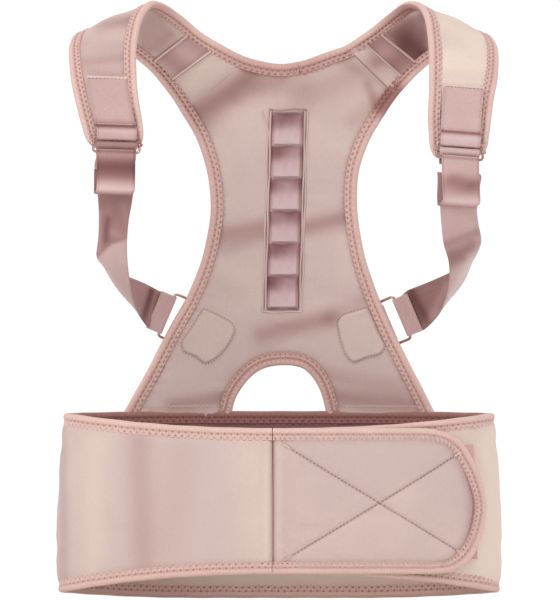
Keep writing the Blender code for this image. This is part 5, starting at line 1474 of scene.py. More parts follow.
def build_cross_tape(side, length):
    """Satin cross tape between two piped welts, on the side towards the wearer."""
    surface = YOKE[side]
    start, end = 1.3 / YOKE_STEPS, 2.3 / YOKE_STEPS
    rows, columns = 24, 44
    t = np.linspace(start, end, rows)
    width = yoke_width(surface, t)
    inset = 9.4 / width
    s = inset[:, None] + (1 - 2 * inset)[:, None] * np.linspace(0, 1, columns)[None, :]
    grid_t = np.repeat(t[:, None], columns, 1)
    middle, normal = surface(grid_t, s), outward(surface, grid_t, s)
    down = np.linspace(0, 1, rows)[:, None]
    bulge = 1.5 + 0.7 * np.sin(math.pi * down) + 0.30 * np.sin(s * 16 + 4 * down**2)
    # painted shade, deeper on the right yoke and towards both ends under the welts, with a faint ripple
    # in tone across the tape; the welts get a slight painted highlight on the left and painted shade on
    # the right
    tone = ((-0.16 if side == "right" else -0.05) - 0.12 * np.abs(2 * down - 1) ** 4
            + 0.05 * np.sin(s * 13))
    piece = Piece()
    piece.slab(middle - normal * (PANEL_THICK / 2 + bulge * 0.9)[..., None],
               middle - normal * (PANEL_THICK / 2 - 0.8),
               np.stack([grid_t * length, s * width[:, None]], -1), tone)
    for edge_t, inside in ((start, 1.35), (end, -1.35)):
        margin = 9.0 / float(yoke_width(surface, edge_t))
        s = margin + (1 - 2 * margin) * np.linspace(0, 1, 60)
        up = -outward(surface, edge_t, s)
        line = surface(edge_t, s) + up * (PANEL_THICK / 2 + 1.0)
        beside = unit(np.cross(unit(np.gradient(line, axis=0)), up))
        piece.tube(round_rings(line, beside, up, 0.95, 1.25, 10),
                   shade=0.03 if side == "left" else -0.05, mat=1)
        running(piece, line + beside * inside + up * 0.2, up, 2.2, 0.9, 0.34, mat=2)
    piece.bend(f"yoke_cross_tape_satin_{side}", ["webbing", "body", "thread_dark"],
               shoulder_hinge(side), f"yoke_cross_tape_{side}")


# ================================================================ webbing patch and slider
def build_webbing_patch(side, strap):
    """Box-stitched webbing patch, its loop round the slider's top bar, and the layer under it."""
    bar = strap.bar
    outer = BAR_LEVEL - WRAP + WEBBING_THICK + 0.35
    path = [(down, MAIN_LEVEL + 0.45) for down in np.linspace(0, bar - 26, 6)]
    path += [(bar - 23, MAIN_LEVEL + 1.0), (bar - 20, outer - 0.7), (bar - 17, outer - 0.1),
             (bar - 12, outer - 0.4), (bar - 8.4, outer - 1.1), (bar - 6.6, outer - 0.2),
             (bar - 4.4, BAR_LEVEL + WRAP + 0.3), (bar - 2.0, BAR_LEVEL + WRAP + 0.1)]
    path += arc((bar, BAR_LEVEL), WRAP, 84, -90, 12)
    path += [(down, BAR_LEVEL - WRAP) for down in (bar - 4, bar - 9, bar - 15)]
    path = even(path, 0.9)
    line = strap.points(path)
    down = path[:, 0][:, None]
    # painted shade in the dip above the loop round the bar and a painted highlight on the turn over the
    # bar; the left gets a second band of painted shade and is a little darker overall; the hidden back
    # layer is left plain
    tone = -0.30 * bell(down, bar - 8.6, 1.6) + 0.05 * bell(down, bar - 4, 1.8)
    if side == "left":
        tone = tone - 0.10 * bell(down, bar - 11, 2.5)
    tone = tone * (lengths(path) < bar + 8)[:, None]
    if side == "left":
        tone = tone - 0.03
    piece = Piece()
    normals = strap_solid(piece, line, strap.across, shade=tone, normal_hint=strap.normal,
                          ripple=0.10)
    lowest = np.argmax(path[:, 0])
    rows = np.arange(len(line))

    def face_line(start, end, count):
        """A straight line on the outer face between (across, down) ends; across is -1..1."""
        across, down = np.linspace(start, end, count).T
        row = np.clip(np.interp(down, path[:lowest, 0], rows[:lowest]), 0, len(line) - 1)
        up = sample(row, rows, normals)
        spot = sample(row, rows, line) + strap.across * (across * WEBBING / 2)[:, None]
        return spot + up * (HALF_WEB + 0.12), up

    high, low = 1.6, bar - 10.5
    for down in (high, low):
        spots, up = face_line((-0.9, down), (0.9, down), 30)
        zigzag(piece, spots, strap.down, up, 2.4, 1.3, 0.26)
    for start, end in (((-0.93, high), (-0.93, low)), ((0.93, high), (0.93, low)),
                       ((-0.86, high + 1), (0.86, low - 1)), ((0.86, high + 1), (-0.86, low - 1))):
        spots, up = face_line(start, end, 60)
        running(piece, spots, up, 2.0, 0.72, 0.21, rise=0.08)
    # the yoke's fabric turned over the patch's upper end
    spots, up = face_line((-1.0, -0.7), (1.0, -0.7), 40)
    piece.tube(round_rings(spots - up * 0.5, strap.down, up, 1.3, 0.95, 10), mat=2)
    spots, up = face_line((-0.98, 0.75), (0.98, 0.75), 40)
    running(piece, spots - up * 0.05, up, 3.0, 0.98, 0.42, mat=3, rise=0.0)
    piece.ride(f"yoke_patch_webbing_{side}", ["webbing", "thread", "body", "thread_dark"],
               f"shoulder_{side}", f"yoke_webbing_patch_{side}")


def build_slider(side, strap):
    across, down = strap.across, strap.down
    piece = Piece()
    outline = rounded_rectangle(strap.level((strap.bar + strap.bottom) / 2), WEBBING / 2 + 2.6,
                                (strap.bottom - strap.bar) / 2, across, down, 2.6)
    rod(piece, outline, WIRE / 2, strap.normal)
    reach = np.linspace(-(WEBBING / 2 + 2.4), WEBBING / 2 + 2.4, 24)
    rod(piece, strap.level(strap.middle) + across * reach[:, None], WIRE / 2 * 0.98, strap.normal,
        loop=False)
    # rounded ends of the middle bar: offsets along it and radii
    offsets = np.array([-2.1, -1.7, -1.0, 0.0, 1.0, 1.7, 2.1])
    radii = np.array([0.45, 1.05, 1.42, 1.5, 1.42, 1.05, 0.45])
    for sign in (-1, 1):
        centre = (strap.level(strap.middle - 0.4) + across * sign * (WEBBING / 2 + 3.1)
                  + strap.normal * 0.3)
        piece.tube(round_rings(centre + across * sign * offsets[:, None], down, strap.normal,
                               radii, radii, 16))
    piece.ride(f"slider_metal_{side}", ["metal"], f"slider_{side}", f"slider_{side}", sharp=40)


# ================================================================ straps to the rings
# The strap's two edges below the slider as (x, y, z): the first ends at the ring's lower corner,
# the second at its upper corner
STRAP_EDGE_1 = {
    "left": [(-116.8, -56.5, 358.4), (-116.8, -56, 342.4), (-116.64, -54, 324),
             (-120.4, -44, 300.8), (-121.6, -31, 280), (-120, -13, 258.4), (-116.8, 9, 239.2),
             (-111.6, 38, 226.4), (-105.6, 63, 216.8)],
    "right": [(131.2, -56.5, 356.8), (129.6, -56.5, 338.4), (128.8, -54, 314.4),
              (130, -46, 297.6), (131.6, -37, 283.2), (135.6, -26, 270.4), (136.4, -14, 259.2),
              (135.2, 2, 246.4), (131.6, 22, 235.2), (125.6, 46, 224), (116, 66, 214.4)],
}
STRAP_EDGE_2 = {
    "left": [(-149.2, -56.5, 358.4), (-147.6, -56, 342.4), (-145.2, -53, 324),
             (-144.16, -39, 300.8), (-144.8, -27, 286.4), (-146.16, -14, 273.6),
             (-141.6, 3, 268), (-132.8, 22, 262.4), (-120, 45, 256.8), (-106.4, 62, 251.2),
             (-96, 71, 245.6)],
    "right": [(164, -56.5, 356.8), (162.4, -56.5, 338.4), (158.4, -54, 314.4),
              (159.6, -42, 299.2), (162, -27, 286.4), (158.4, -8, 276), (151.2, 12, 267.2),
              (136, 33, 260), (121.6, 53, 253.6), (102.4, 69, 246)],
}
STRAP_CUTS = (322.4, 278.4)     # heights where the strap's three pieces meet
STRAP_COLUMNS = 33
# Height of the fold, its width in z, and how far it bulges
STRAP_FOLD_Z, STRAP_FOLD_WIDTH = 252.0, 16.8
STRAP_BULGE = {"left": 6.2, "right": 6.8}
STRAP_CREASE_Z = 292.8

# Painted light and shade as for bands()
LEFT_ABOVE_FOLD = [(-159.2, 334.4), (-107.2, 334.4), (-107.2, 288.8), (-120.8, 287.6),
                   (-133.6, 283.2), (-145.6, 272.4), (-159.2, 268.8)]
LEFT_TONES_ABOVE = [(-144, 308.8, -144.4, 278.4, 2.88, 0.10), (-124, 313.6, -118.4, 289.6, 4, 0.05),
                    (-133.6, 292.8, -125.6, 289.6, 4, 0.06), (-140, 318.4, -122.4, 318.4, 4.8, -0.03)]
LEFT_TONES_CREASE = [(-136.4, 303.2, -137.6, 286.4, 2.72, -0.12)]
LEFT_TONES_BELOW = [(-128.8, 280, -122.4, 268.8, 4.8, 0.03), (-144.8, 270.4, -117.6, 233.6, 1.76, 0.03)]
RIGHT_TONES = [(133.6, 283.2, 160.8, 294.4, 3.6, -0.10), (136.8, 273.6, 154.4, 281.6, 5.6, -0.19),
               (134.4, 265.6, 146.4, 272, 4, -0.10), (130.4, 315.2, 158.4, 315.2, 3.2, -0.10),
               (138.4, 305.6, 156, 300.8, 7.2, 0.02), (160, 278.4, 133.6, 235.2, 4.8, 0.10),
               (152.8, 264, 133.6, 238.4, 7.2, 0.03)]
STRAP_TONES_IN = {   # overall tone, then bands
    "left": (-0.19, [(-102.4, 245.6, -110.4, 219.2, 2.56, -0.26),
                     (-117.6, 250.4, -115.2, 233.6, 3.2, 0.03)]),
    "right": (-0.25, [(105.6, 246.4, 120.8, 217.6, 3.6, -0.18),
                      (135.2, 250.4, 119.2, 219.2, 4, 0.10),
                      (128.8, 226.4, 120.8, 219.2, 4, 0.08)]),
}


def strap_tones(side, points):
    """Light and shade on the strap's front face and on the face that looks back and inwards."""
    x, z = points[..., 0], points[..., 2]
    overall, table = STRAP_TONES_IN[side]
    inner = overall + bands(x, z, table)
    if side == "right":
        return -0.015 + bands(x, z, RIGHT_TONES), inner
    above = soft_polygon(x, z, LEFT_ABOVE_FOLD, 2.08)
    front = (above * (-0.215 + bands(x, z, LEFT_TONES_ABOVE)) + bands(x, z, LEFT_TONES_CREASE)
             + (1 - above) * bands(x, z, LEFT_TONES_BELOW))
    return front, inner


def slider_wrap(strap):
    """The strap on the slider: up behind it, over the middle bar, back behind the bottom bar."""
    middle, bottom = strap.middle, strap.bottom
    path = [(bottom + 5, MAIN_LEVEL), (bottom, MAIN_LEVEL), (middle + 3.4, MAIN_LEVEL + 0.35)]
    path += arc((middle, BAR_LEVEL), WRAP, -82, -270, 14)
    tilt = math.degrees(math.asin(2 * WRAP / BAR_MIDDLE_TO_BOTTOM))
    path += arc((middle, BAR_LEVEL), WRAP, 90, 90 - tilt, 4)[1:]
    path += arc((bottom, BAR_LEVEL), WRAP, 270 - tilt, 268, 4)
    return strap.points(path)


def strap_sheet(side, strap):
    """The whole strap's middle surface, from the slider's wrap to the ring."""
    edge_1, edge_2 = (even(curve(table[side], 400), count=240)
                      for table in (STRAP_EDGE_1, STRAP_EDGE_2))
    wrap = slider_wrap(strap)
    half = strap.across * WEBBING / 2 * (1 if side == "left" else -1)
    # drop the rows of the free run that lie above the wrap's lower end
    use = edge_1[:, 2] < wrap[0, 2] - 4.0
    edge_1 = np.vstack([(wrap + half)[::-1], edge_1[use]])
    edge_2 = np.vstack([(wrap - half)[::-1], edge_2[use]])
    knots = lengths((edge_1 + edge_2) / 2)
    rows = int(knots[-1] / 1.1)
    along = np.linspace(0, knots[-1], rows)
    edge_1, edge_2 = sample(along, knots, edge_1), sample(along, knots, edge_2)
    free = smoothstep(wrap[0, 2] + 1.0, wrap[0, 2] - 8.0, (edge_1[:, 2] + edge_2[:, 2]) / 2)
    free = (free * (np.arange(rows) > rows * 0.05))[:, None]
    edge_1 = edge_1 + (smoothed(edge_1, 5) - edge_1) * free
    edge_2 = edge_2 + (smoothed(edge_2, 5) - edge_2) * free
    v = np.linspace(0, 1, STRAP_COLUMNS)
    middle = edge_2[:, None] * (1 - v)[None, :, None] + edge_1[:, None] * v[None, :, None]
    centre = (edge_1 + edge_2) / 2
    z = centre[:, 2]
    # the webbing rolls over its fold instead of creasing
    bulge_direction = np.array([-0.80 if side == "left" else 0.80, -0.25, -0.52])
    bulge = STRAP_BULGE[side] * bell(z, STRAP_FOLD_Z, STRAP_FOLD_WIDTH)
    middle = middle + bulge_direction * (bulge[:, None] * (4 * v * (1 - v))[None, :] ** 1.1)[..., None]
    wave = 1.6 * np.sin(v * math.pi * 2.0 + 0.4)[None, :] * bell(z, STRAP_CREASE_Z, 16.0)[:, None]
    if side == "left":   # vertical crease above the fold
        wave = wave + 2.2 * bell(v, 0.30, 0.10)[None, :] * bell(z, STRAP_CREASE_Z, 8.8)[:, None]
    middle = middle + REAR * wave[..., None]
    normal = grid_normals(middle)
    if normal[int(rows * 0.35), STRAP_COLUMNS // 2] @ FORWARD < 0:
        normal = -normal
    half_thick = (HALF_WEB * edge_bead(2 * v - 1, 0.7))[None, :, None]
    return SimpleNamespace(edge_1=edge_1, edge_2=edge_2, centre=centre, along=along, v=v,
                           middle=middle, normal=normal, half_thick=half_thick, top=wrap[0])


# The middle of the ring's place on the panel as (x, z), and the ring's long direction in (x, z)
RING_PLACE = {"left": ((-79.8, 222.4), (-0.391, -0.920)), "right": ((88.6, 220.4), (0.391, -0.920))}


def ring_frame(side):
    """The lower ring's directions and the middles of its two long bars."""
    (x, z), (long_x, long_z) = RING_PLACE[side]
    along = np.array([long_x, 0.0, long_z])
    away = unit(np.array([-0.92 if side == "left" else 0.92, -0.30, -0.391]))
    away = unit(away - along * (away @ along))
    face = unit(np.cross(along, away))
    if face[1] < 0:
        face = -face
    inner = np.array([x, float(panel_depth(x, z)) + RING_LEVEL, z]) - away * 2.0
    return SimpleNamespace(along=along, away=away, face=face, inner=inner,
                           outer=inner + away * RING_WIDTH)


def strap_slab(piece, sheet, middle, normal, along, tones):
    half = normal * sheet.half_thick
    uv = np.stack(np.broadcast_arrays(along[:, None], sheet.v[None, :] * WEBBING), -1)
    piece.slab(middle + half, middle - half, uv, tones[0], 0.0, tones[1])


def add_lower_strap(piece, side, sheet, ring, first):
    """The free run from row first, over the ring's outer bar and back as a short layer in front."""
    away, face, outer = ring.away, ring.face, ring.outer
    turn = [outer + face * RING_WRAP + away * 6.0, outer + face * RING_WRAP + away * 2.5]
    for angle in np.radians(np.linspace(90, -90, 13)):
        turn.append(outer - away * RING_WRAP * math.cos(angle) + face * RING_WRAP * math.sin(angle))
    for distance in (2.5, 5.5, 8.5, 11.0, 12.6):
        turn.append(outer - face * (RING_WRAP + 0.25 * (distance > 5)) + away * distance)
    turn = np.array(turn)
    half = -ring.along * WEBBING / 2
    free_rows = [k for k in range(first, len(sheet.centre))
                 if (sheet.centre[k] - outer) @ away > 9.5]
    free = slice(first, free_rows[-1] + 1)
    v = sheet.v
    turned = (turn + half)[:, None] * (1 - v)[None, :, None] + (turn - half)[:, None] * v[None, :, None]
    middle = np.concatenate([sheet.middle[free], turned])
    joint = free.stop - first
    flat = middle.reshape(len(middle), -1)
    knots = lengths(middle[:, STRAP_COLUMNS // 2])
    rows = int(knots[-1] / 0.8)
    along = np.linspace(0, knots[-1], rows)
    flat = sample(along, knots, flat)
    row = np.interp(along, knots, np.arange(len(knots)))
    # smooth the joint between the free run and the turn
    weight = bell(row, joint, 3.0) * (row < joint + 1.5)
    flat = flat + (smoothed(flat, 3) - flat) * weight[:, None]
    middle = flat.reshape(rows, STRAP_COLUMNS, 3)
    normal = grid_normals(middle)
    if normal[2, STRAP_COLUMNS // 2] @ sheet.normal[first + 2, STRAP_COLUMNS // 2] < 0:
        normal = -normal
    is_short = (row > joint + 8)[:, None]
    # the short layer in front takes an even slight painted shade instead
    tones = [np.where(is_short, -0.01, tone) for tone in strap_tones(side, middle)]
    strap_slab(piece, sheet, middle, normal, along, tones)
    # the sewn row across the short layer
    centre = outer - face * (RING_WRAP + HALF_WEB + 0.3) + away * 10.6
    reach = np.linspace(-WEBBING / 2 + 1, WEBBING / 2 - 1, 30)
    zigzag(piece, centre - ring.along * reach[:, None], away, -face, 2.2, 1.1, 0.30)


def build_strap(side, strap, ring):
    sheet = strap_sheet(side, strap)
    cut_1 = int(np.argmax(sheet.centre[:, 2] < STRAP_CUTS[0]))
    cut_2 = int(np.argmax(sheet.centre[:, 2] < STRAP_CUTS[1]))
    shoulder = f"shoulder_{side}"
    tones = strap_tones(side, sheet.middle)
    start, second, third = (sheet.centre[k] for k in (cut_1, cut_1, cut_2))
    below_first, below_second = start + 2 * UP, third + 2 * UP
    hinges = {"upper": (f"slider_{side}", shoulder, sheet.top, below_first),
              "middle": ("back", shoulder, below_second, second - 2 * UP)}
    for part, rows in (("upper", slice(0, cut_1 + 1)), ("middle", slice(cut_1, cut_2 + 1))):
        piece = Piece()
        strap_slab(piece, sheet, sheet.middle[rows], sheet.normal[rows], sheet.along[rows],
                   [tone[rows] for tone in tones])
        piece.bend(f"strap_{part}_{side}", ["webbing"], hinges[part], f"adjuster_strap_{side}",
                   sharp=60)
    piece = Piece()
    add_lower_strap(piece, side, sheet, ring, cut_2)
    to_ring = ring.outer - third
    hinge = ("back", f"ring_{side}", third - 1.5 * UP + to_ring * 0.04, third + to_ring * 0.62)
    piece.bend(f"strap_lower_{side}", ["webbing", "thread"], hinge, f"lower_strap_{side}",
               sharp=60)


# ================================================================ loose ends, rings and tabs
TAIL_REACH = {"left": 34.0, "right": 39.0}


def tail_path(side, bottom, reach):
    """(down, out) of the loose end: down in front, round, and back up behind itself."""
    front, back = BAR_LEVEL + 1.6, BAR_LEVEL - 0.9
    path = [(bottom - 2.2, BAR_LEVEL + WRAP + 0.7), (bottom + 1.0, BAR_LEVEL + WRAP + 0.5),
            (bottom + 5.0, BAR_LEVEL + 1.9), (bottom + 10, front + 0.2)]
    if side == "left":
        path += [(d, front + 0.5 * math.sin((d - bottom) / 9))
                 for d in np.linspace(bottom + 16, bottom + reach - 3, 8)]
        path += arc((bottom + reach - 1.9, (front + back) / 2), (front - back) / 2 + 0.2,
                    80, -80, 9)
        path += [(d, back) for d in np.linspace(bottom + reach - 4, bottom + 14, 8)]
    else:
        path += [(d, front + 1.9 + 1.3 * math.sin((d - bottom - 10) / 7.5))
                 for d in np.linspace(bottom + 16, bottom + reach - 5, 10)]
        path += arc((bottom + reach - 3.0, (front + 2.2 + back) / 2), (front + 2.2 - back) / 2,
                    80, -80, 11)
        path += [(d, back + 0.6 * math.sin(max(0.0, d - bottom - 10) / 6))
                 for d in np.linspace(bottom + reach - 7, bottom + 12, 9)]
    return even(path, 0.9)


def build_tail(side, strap):
    bottom, reach = strap.bottom, TAIL_REACH[side]
    path = tail_path(side, bottom, reach)
    gone = lengths(path)
    behind = smoothstep(reach - 3, reach + 4, gone)
    front = 1 - behind[:, None]
    down = path[:, 0][:, None] - bottom
    share = np.clip(down[:, 0] / reach, 0, 1)
    facing = np.sign(strap.across[0])
    across = np.linspace(-1, 1, 21)[None, :] * facing
    # painted light and shade on the loose end: dark bands on its front layer, a painted highlight near
    # its turn, painted shade just under the bar and on the layer behind
    if side == "left":
        shift = 0.8 * share - 2.2 * behind
        tone = (-0.40 * bell(down, 12, 9) - 0.06 * bell(down, 20, 4) + 0.09 * bell(down, 31, 4.5)
                - 0.22 * bell(down, -0.5, 1.6) - 0.02 * across) * front - 0.25 * (1 - front)
        width, bow = WEBBING - 1.2, 0.0
    else:
        shift = 1.0 + 4.4 * share ** 1.3 - (4.2 + 0.6 * np.sin(gone / 6.0)) * behind
        tone = (-0.20 * bell(down + 3 * across, 22, 5.5) * bell(across, 0.55, 0.6)
                - 0.17 * bell(down + 2 * across, 17, 5.0) * bell(across, -0.35, 0.55)
                - 0.08 * bell(down, 24, 7) - 0.14 * bell(down, -0.3, 1.3)
                + 0.09 * bell(down, 35, 5) - 0.02) * front - 0.16 * (1 - front)
        width = WEBBING - 1.8
        bow = 1.2 * np.sin(down / 7.0) * (across**2 - 0.3) * front * np.clip(down / 10, 0, 1)
    line = strap.points(path) + strap.across * facing * shift[:, None]
    piece = Piece()
    strap_solid(piece, line, strap.across, shade=tone, width=width, bow=bow, ripple=0.12)
    hinge = (f"slider_{side}", f"tail_{side}", strap.point(bottom + 1.0, BAR_LEVEL),
             strap.point(bottom + reach * 0.72, BAR_LEVEL))
    piece.bend(f"tail_loop_webbing_{side}", ["webbing"], hinge, f"tail_loop_{side}")


def build_ring(side, ring):
    piece = Piece()
    outline = rounded_rectangle(ring.inner + ring.away * RING_WIDTH / 2, RING_LONG + 0.6,
                                RING_WIDTH / 2, ring.along, ring.away, 3.0)
    rod(piece, outline, RING_WIRE / 2, ring.face)
    # the weld in the inner bar: offsets along it and radii
    offsets = np.array([-1.4, -0.7, 0, 0.7, 1.4])
    radii = np.array([1.10, 1.24, 1.28, 1.24, 1.10])
    centre = ring.inner + ring.along * 4.0
    piece.tube(round_rings(centre + ring.along * offsets[:, None], ring.away, ring.face,
                           radii, radii, 14))
    piece.ride(f"lower_ring_metal_{side}", ["metal"], f"ring_{side}", f"lower_ring_{side}",
               sharp=40)


def build_anchor_tab(side, ring):
    """The tab on the outside of the panel, turned round the ring's inner bar."""
    inside = unit(np.array([-ring.away[0], 0.0, -ring.away[2]]))
    inside = unit(inside - ring.along * (inside @ ring.along))

    def over_panel(distance, out):
        spot = ring.inner + inside * distance
        return np.array([spot[0], float(panel_depth(spot[0], spot[2])) + out, spot[2]])

    # the ring's level is measured where it is placed, before it is moved off by 2 mm
    upper = RING_LEVEL + RING_WRAP
    path = [over_panel(distance, upper - 0.2) for distance in (22, 17, 12, 7)]
    path += [ring.inner - inside * RING_WRAP * math.cos(a) + REAR * RING_WRAP * math.sin(a)
             for a in np.radians(np.linspace(90, -90, 13))]
    path += [over_panel(distance, RING_LEVEL - RING_WRAP) for distance in (4, 9, 13)]
    piece = Piece()
    strap_solid(piece, even(path, 0.8), ring.along, width=WEBBING - 1.5, ripple=0.04)
    # the stitched box and its cross, as (across, distance) corners
    near, far, wide = 5.5, 20.5, 0.86
    corners = [(-wide, near), (wide, near), (wide, far), (-wide, far), (-wide, near)]
    seams = list(zip(corners, corners[1:]))
    seams += [((-wide, near), (wide, far)), ((wide, near), (-wide, far))]
    for start, end in seams:
        line = np.array([over_panel(distance, upper + HALF_WEB - 0.05) + ring.along * across * 15.2
                         for across, distance in np.linspace(start, end, 30)])
        running(piece, line, REAR, 2.2, 0.7, 0.26)
    hinge = ("back", f"ring_{side}", ring.inner + inside * 7.5, ring.inner + inside * 1.6)
    piece.bend(f"ring_anchor_tab_{side}", ["webbing", "thread"], hinge,
               f"strap_anchor_tab_{side}")


# ================================================================ waist belt
# Painted light and shade on the belt's outer face, and its soft folds in depth, as for bands()
BELT_TONES = [(-145.6, 122.4, -147.2, 22.4, 10.4, 0.055), (-111.2, 126.4, -108, 26.4, 10.4, -0.075),
              (-79.2, 114.4, -87.2, 46.4, 16, -0.03), (-23.2, 110.4, -13.6, 38.4, 17.6, 0.05),
              (-170.4, 134.4, -170.4, 14.4, 4, -0.06), (170.4, 126.4, 170.4, 14.4, 12.8, 0.10),
              (152.8, 78.4, 160.8, 74.4, 9.6, 0.04)]
BELT_FOLDS = [(-145.6, 134.4, -147.2, 14.4, 12.8, 1.0), (-109.6, 134.4, -108, 14.4, 12, -1.0),
              (-23.2, 118.4, -13.6, 30.4, 20.8, 0.6)]


def belt_grid(start, end, columns, rows):
    """(s, z, bottom, top) of a grid over the belt, inside its bindings."""
    cover = 4.6
    s = np.linspace(start, end, columns)
    bottom, top = belt_edges(s)
    z = ((bottom + cover)[:, None]
         + (top - bottom - 2 * cover)[:, None] * np.linspace(0, 1, rows)[None, :])
    return np.repeat(s[:, None], rows, 1), z, bottom[:, None], top[:, None]


def belt_sheet(start, end):
    columns, rows = int(abs(end - start) / 2.2), 66
    s, z, bottom, top = belt_grid(start, end, columns, rows)
    few_columns, few_rows = max(6, columns // 5 + 1), rows // 5 + 1
    few_s, few_z, _, _ = belt_grid(start, end, few_columns, few_rows)
    grid = belt_point(few_s, few_z, -BELT_THICK / 2)
    moved = relax(grid, border(few_columns, few_rows, 1), 0.15, grow=0.010, most=1.5)
    normal = grid_normals(grid)[few_columns // 2, few_rows // 2]
    flip = np.sign(normal @ belt_normal(few_s[few_columns // 2, 0]))
    from_edge = np.minimum(z - bottom, top - z)
    level = BELT_THICK / 2 + edge_puckers(from_edge, s, 0.9, 1.8, 0.34, 2.4, BELT_PITCH)
    return SimpleNamespace(s=s, z=z, from_edge=from_edge, level=level,
                           puff=refine(moved, columns, rows) * flip)


def belt_slab(piece, sheet, swell, shade, shade_in):
    middle, normal = belt_point(sheet.s, sheet.z, -BELT_THICK / 2), belt_normal(sheet.s)
    piece.slab(middle + normal * (sheet.level + sheet.puff * 0.6 + swell)[..., None],
               middle - normal * (sheet.level - sheet.puff * 0.4 - swell)[..., None],
               np.stack([sheet.s, sheet.z], -1), shade, 0.0, shade_in)


def belt_binding(start, end, top, **look):
    """A piece with the binding of the belt's top or bottom edge."""
    s = np.linspace(start, end, max(12, int(abs(end - start) / 1.2)))
    line = belt_point(s, belt_edges(s)[1 if top else 0], -BELT_THICK / 2)
    normal = belt_normal(s)
    tangent = unit(np.gradient(line, axis=0))
    inward = pointing(unit(np.cross(normal, tangent)), -UP if top else UP)
    normal = pointing(unit(np.cross(tangent, inward)), normal)
    piece = Piece()
    binding(piece, line, inward, normal, pitch=BELT_PITCH, **look)
    return piece


def build_belt_back():
    """The back of the belt, between the two side folds."""
    start, end = SIDE_S + WING_TURN, LOOP - SIDE_S - WING_TURN
    sheet = belt_sheet(start, end)
    s, z = sheet.s, sheet.z
    # painted shade inside the loop, deepest towards the top, with painted light low down; the top
    # binding's inner face gets painted shade and the bottom's painted light, the outer faces slight
    # painted shade
    tone_in = -0.46 * smoothstep(70, 135, z) + 0.10 + 0.10 * smoothstep(40, 5, z)
    piece = Piece()
    belt_slab(piece, sheet, 0.25 * np.sin(s / 13 + z / 40) * np.sin(z / 19), 0.0, tone_in)
    piece.ride("belt_back_fabric", ["body"], "back", "belt_back")
    for edge, tone_in in (("top", -0.30), ("bottom", 0.10)):
        piece = belt_binding(start, end, edge == "top", shade=-0.02, shade_in=tone_in, deep=1.15)
        piece.ride(f"belt_back_{edge}_edge", ["binding", "thread"], "back",
                   f"belt_back_{edge}_binding")


def build_wing(side, start, end):
    """A wing; it runs a little way round behind its side fold and bends there."""
    body = f"wing_{side}"
    sheet = belt_sheet(start, end)
    x, y, z = np.moveaxis(belt_point(sheet.s, sheet.z, -BELT_THICK / 2), -1, 0)
    swell = (1.1 * bands(x, z, BELT_FOLDS) * smoothstep(20, -40, y)
             * np.clip((sheet.from_edge - 9) / 12, 0, 1))
    # painted light and shade from the table on the wing's front, a slight painted highlight over the
    # right wing, and painted shade on the inner faces of the wing and its bindings
    front = smoothstep(30, -20, y)
    tone = bands(x, z, BELT_TONES) * front
    if side == "right":
        tone = tone + 0.05 * front
    else:   # the seam under the tab's sewn end: a dip, with painted shade in it and a painted highlight beside it
        from_end = end - sheet.s
        sheet.level = sheet.level - bell(from_end, 0, 1.6)
        tone = tone - 0.10 * bell(from_end, 0, 1.5) + 0.04 * bell(from_end, 4, 2.5)
    piece = Piece()
    belt_slab(piece, sheet, swell, tone, -0.10)
    fold_x = -170 if side == "left" else 170
    hinge = ("back", body, (fold_x, 18, 75), (fold_x, -26, 75))
    piece.bend(f"belt_{body}_fabric", ["body"], hinge, f"belt_{body}")
    for edge in ("top", "bottom"):
        piece = belt_binding(start, end, edge == "top", shade=0.0, shade_in=-0.10)
        piece.bend(f"{body}_{edge}_edge", ["binding", "thread"], hinge, f"{body}_{edge}_binding")


def build_loop_pad():
    """The loop pad on the right wing, with a stitched frame."""
    across = np.linspace(loop_s(39.5), loop_s(158.5), 100)
    height = np.linspace(31.5, 122.5, 60)
    s, z = np.meshgrid(across, height, indexing="ij")
    from_edge = np.minimum.reduce([s - across[0], across[-1] - s, z - height[0], height[-1] - z])
    fuzz = (0.16 * np.sin(s * 2.1 + 1.7 * np.sin(z * 1.3)) * np.sin(z * 2.3 + 1.1 * np.sin(s * 0.9))
            + 0.10 * RNG.standard_normal(s.shape))
    rise = (0.35 + (PAD_THICK - 0.15) * smoothstep(-0.3, 1.6, from_edge)
            + fuzz * smoothstep(0.2, 1.5, from_edge))
    piece = Piece()
    # the pile's tone varies with its fuzz and is a little darker overall, with painted shade along the
    # pad's edge
    piece.slab(belt_point(s, z, rise), belt_point(s, z, -1.6), np.stack([s, z], -1),
               -0.03 + 0.04 * fuzz, 0.30 * bell(from_edge, 0, 0.8))
    run = across[3:-3]
    climb = np.linspace(height[2], height[-3], 50)
    seam = np.vstack([np.stack(np.broadcast_arrays(a, b), 1) for a, b in (
        (run, height[2]), (across[-4], climb), (run[::-1], height[-3]),
        (across[3], np.linspace(height[-3], height[2], 50)))])
    running(piece, belt_point(seam[:, 0], seam[:, 1], PAD_THICK + 0.15), belt_normal(seam[:, 0]),
            2.6, 0.68, 0.28)
    piece.ride("loop_pad_pile", ["loop", "thread"], "wing_right", "loop_pad")


# ================================================================ closure tab
TAB_LINE = even(TAB_OUTLINE, 1.0)
# The quilting cross: the ends of its two lines as (x, z)
TAB_CROSS = [((3.2, 123.2), (144, 34.4)), ((4, 30), (144, 116.8))]
TAB_HINGE = ("wing_left", "closure_tab", belt_point(TAB_START - 0.5, 77.5, 0.0),
             belt_point(TAB_START + 13, 77.5, 0.0))


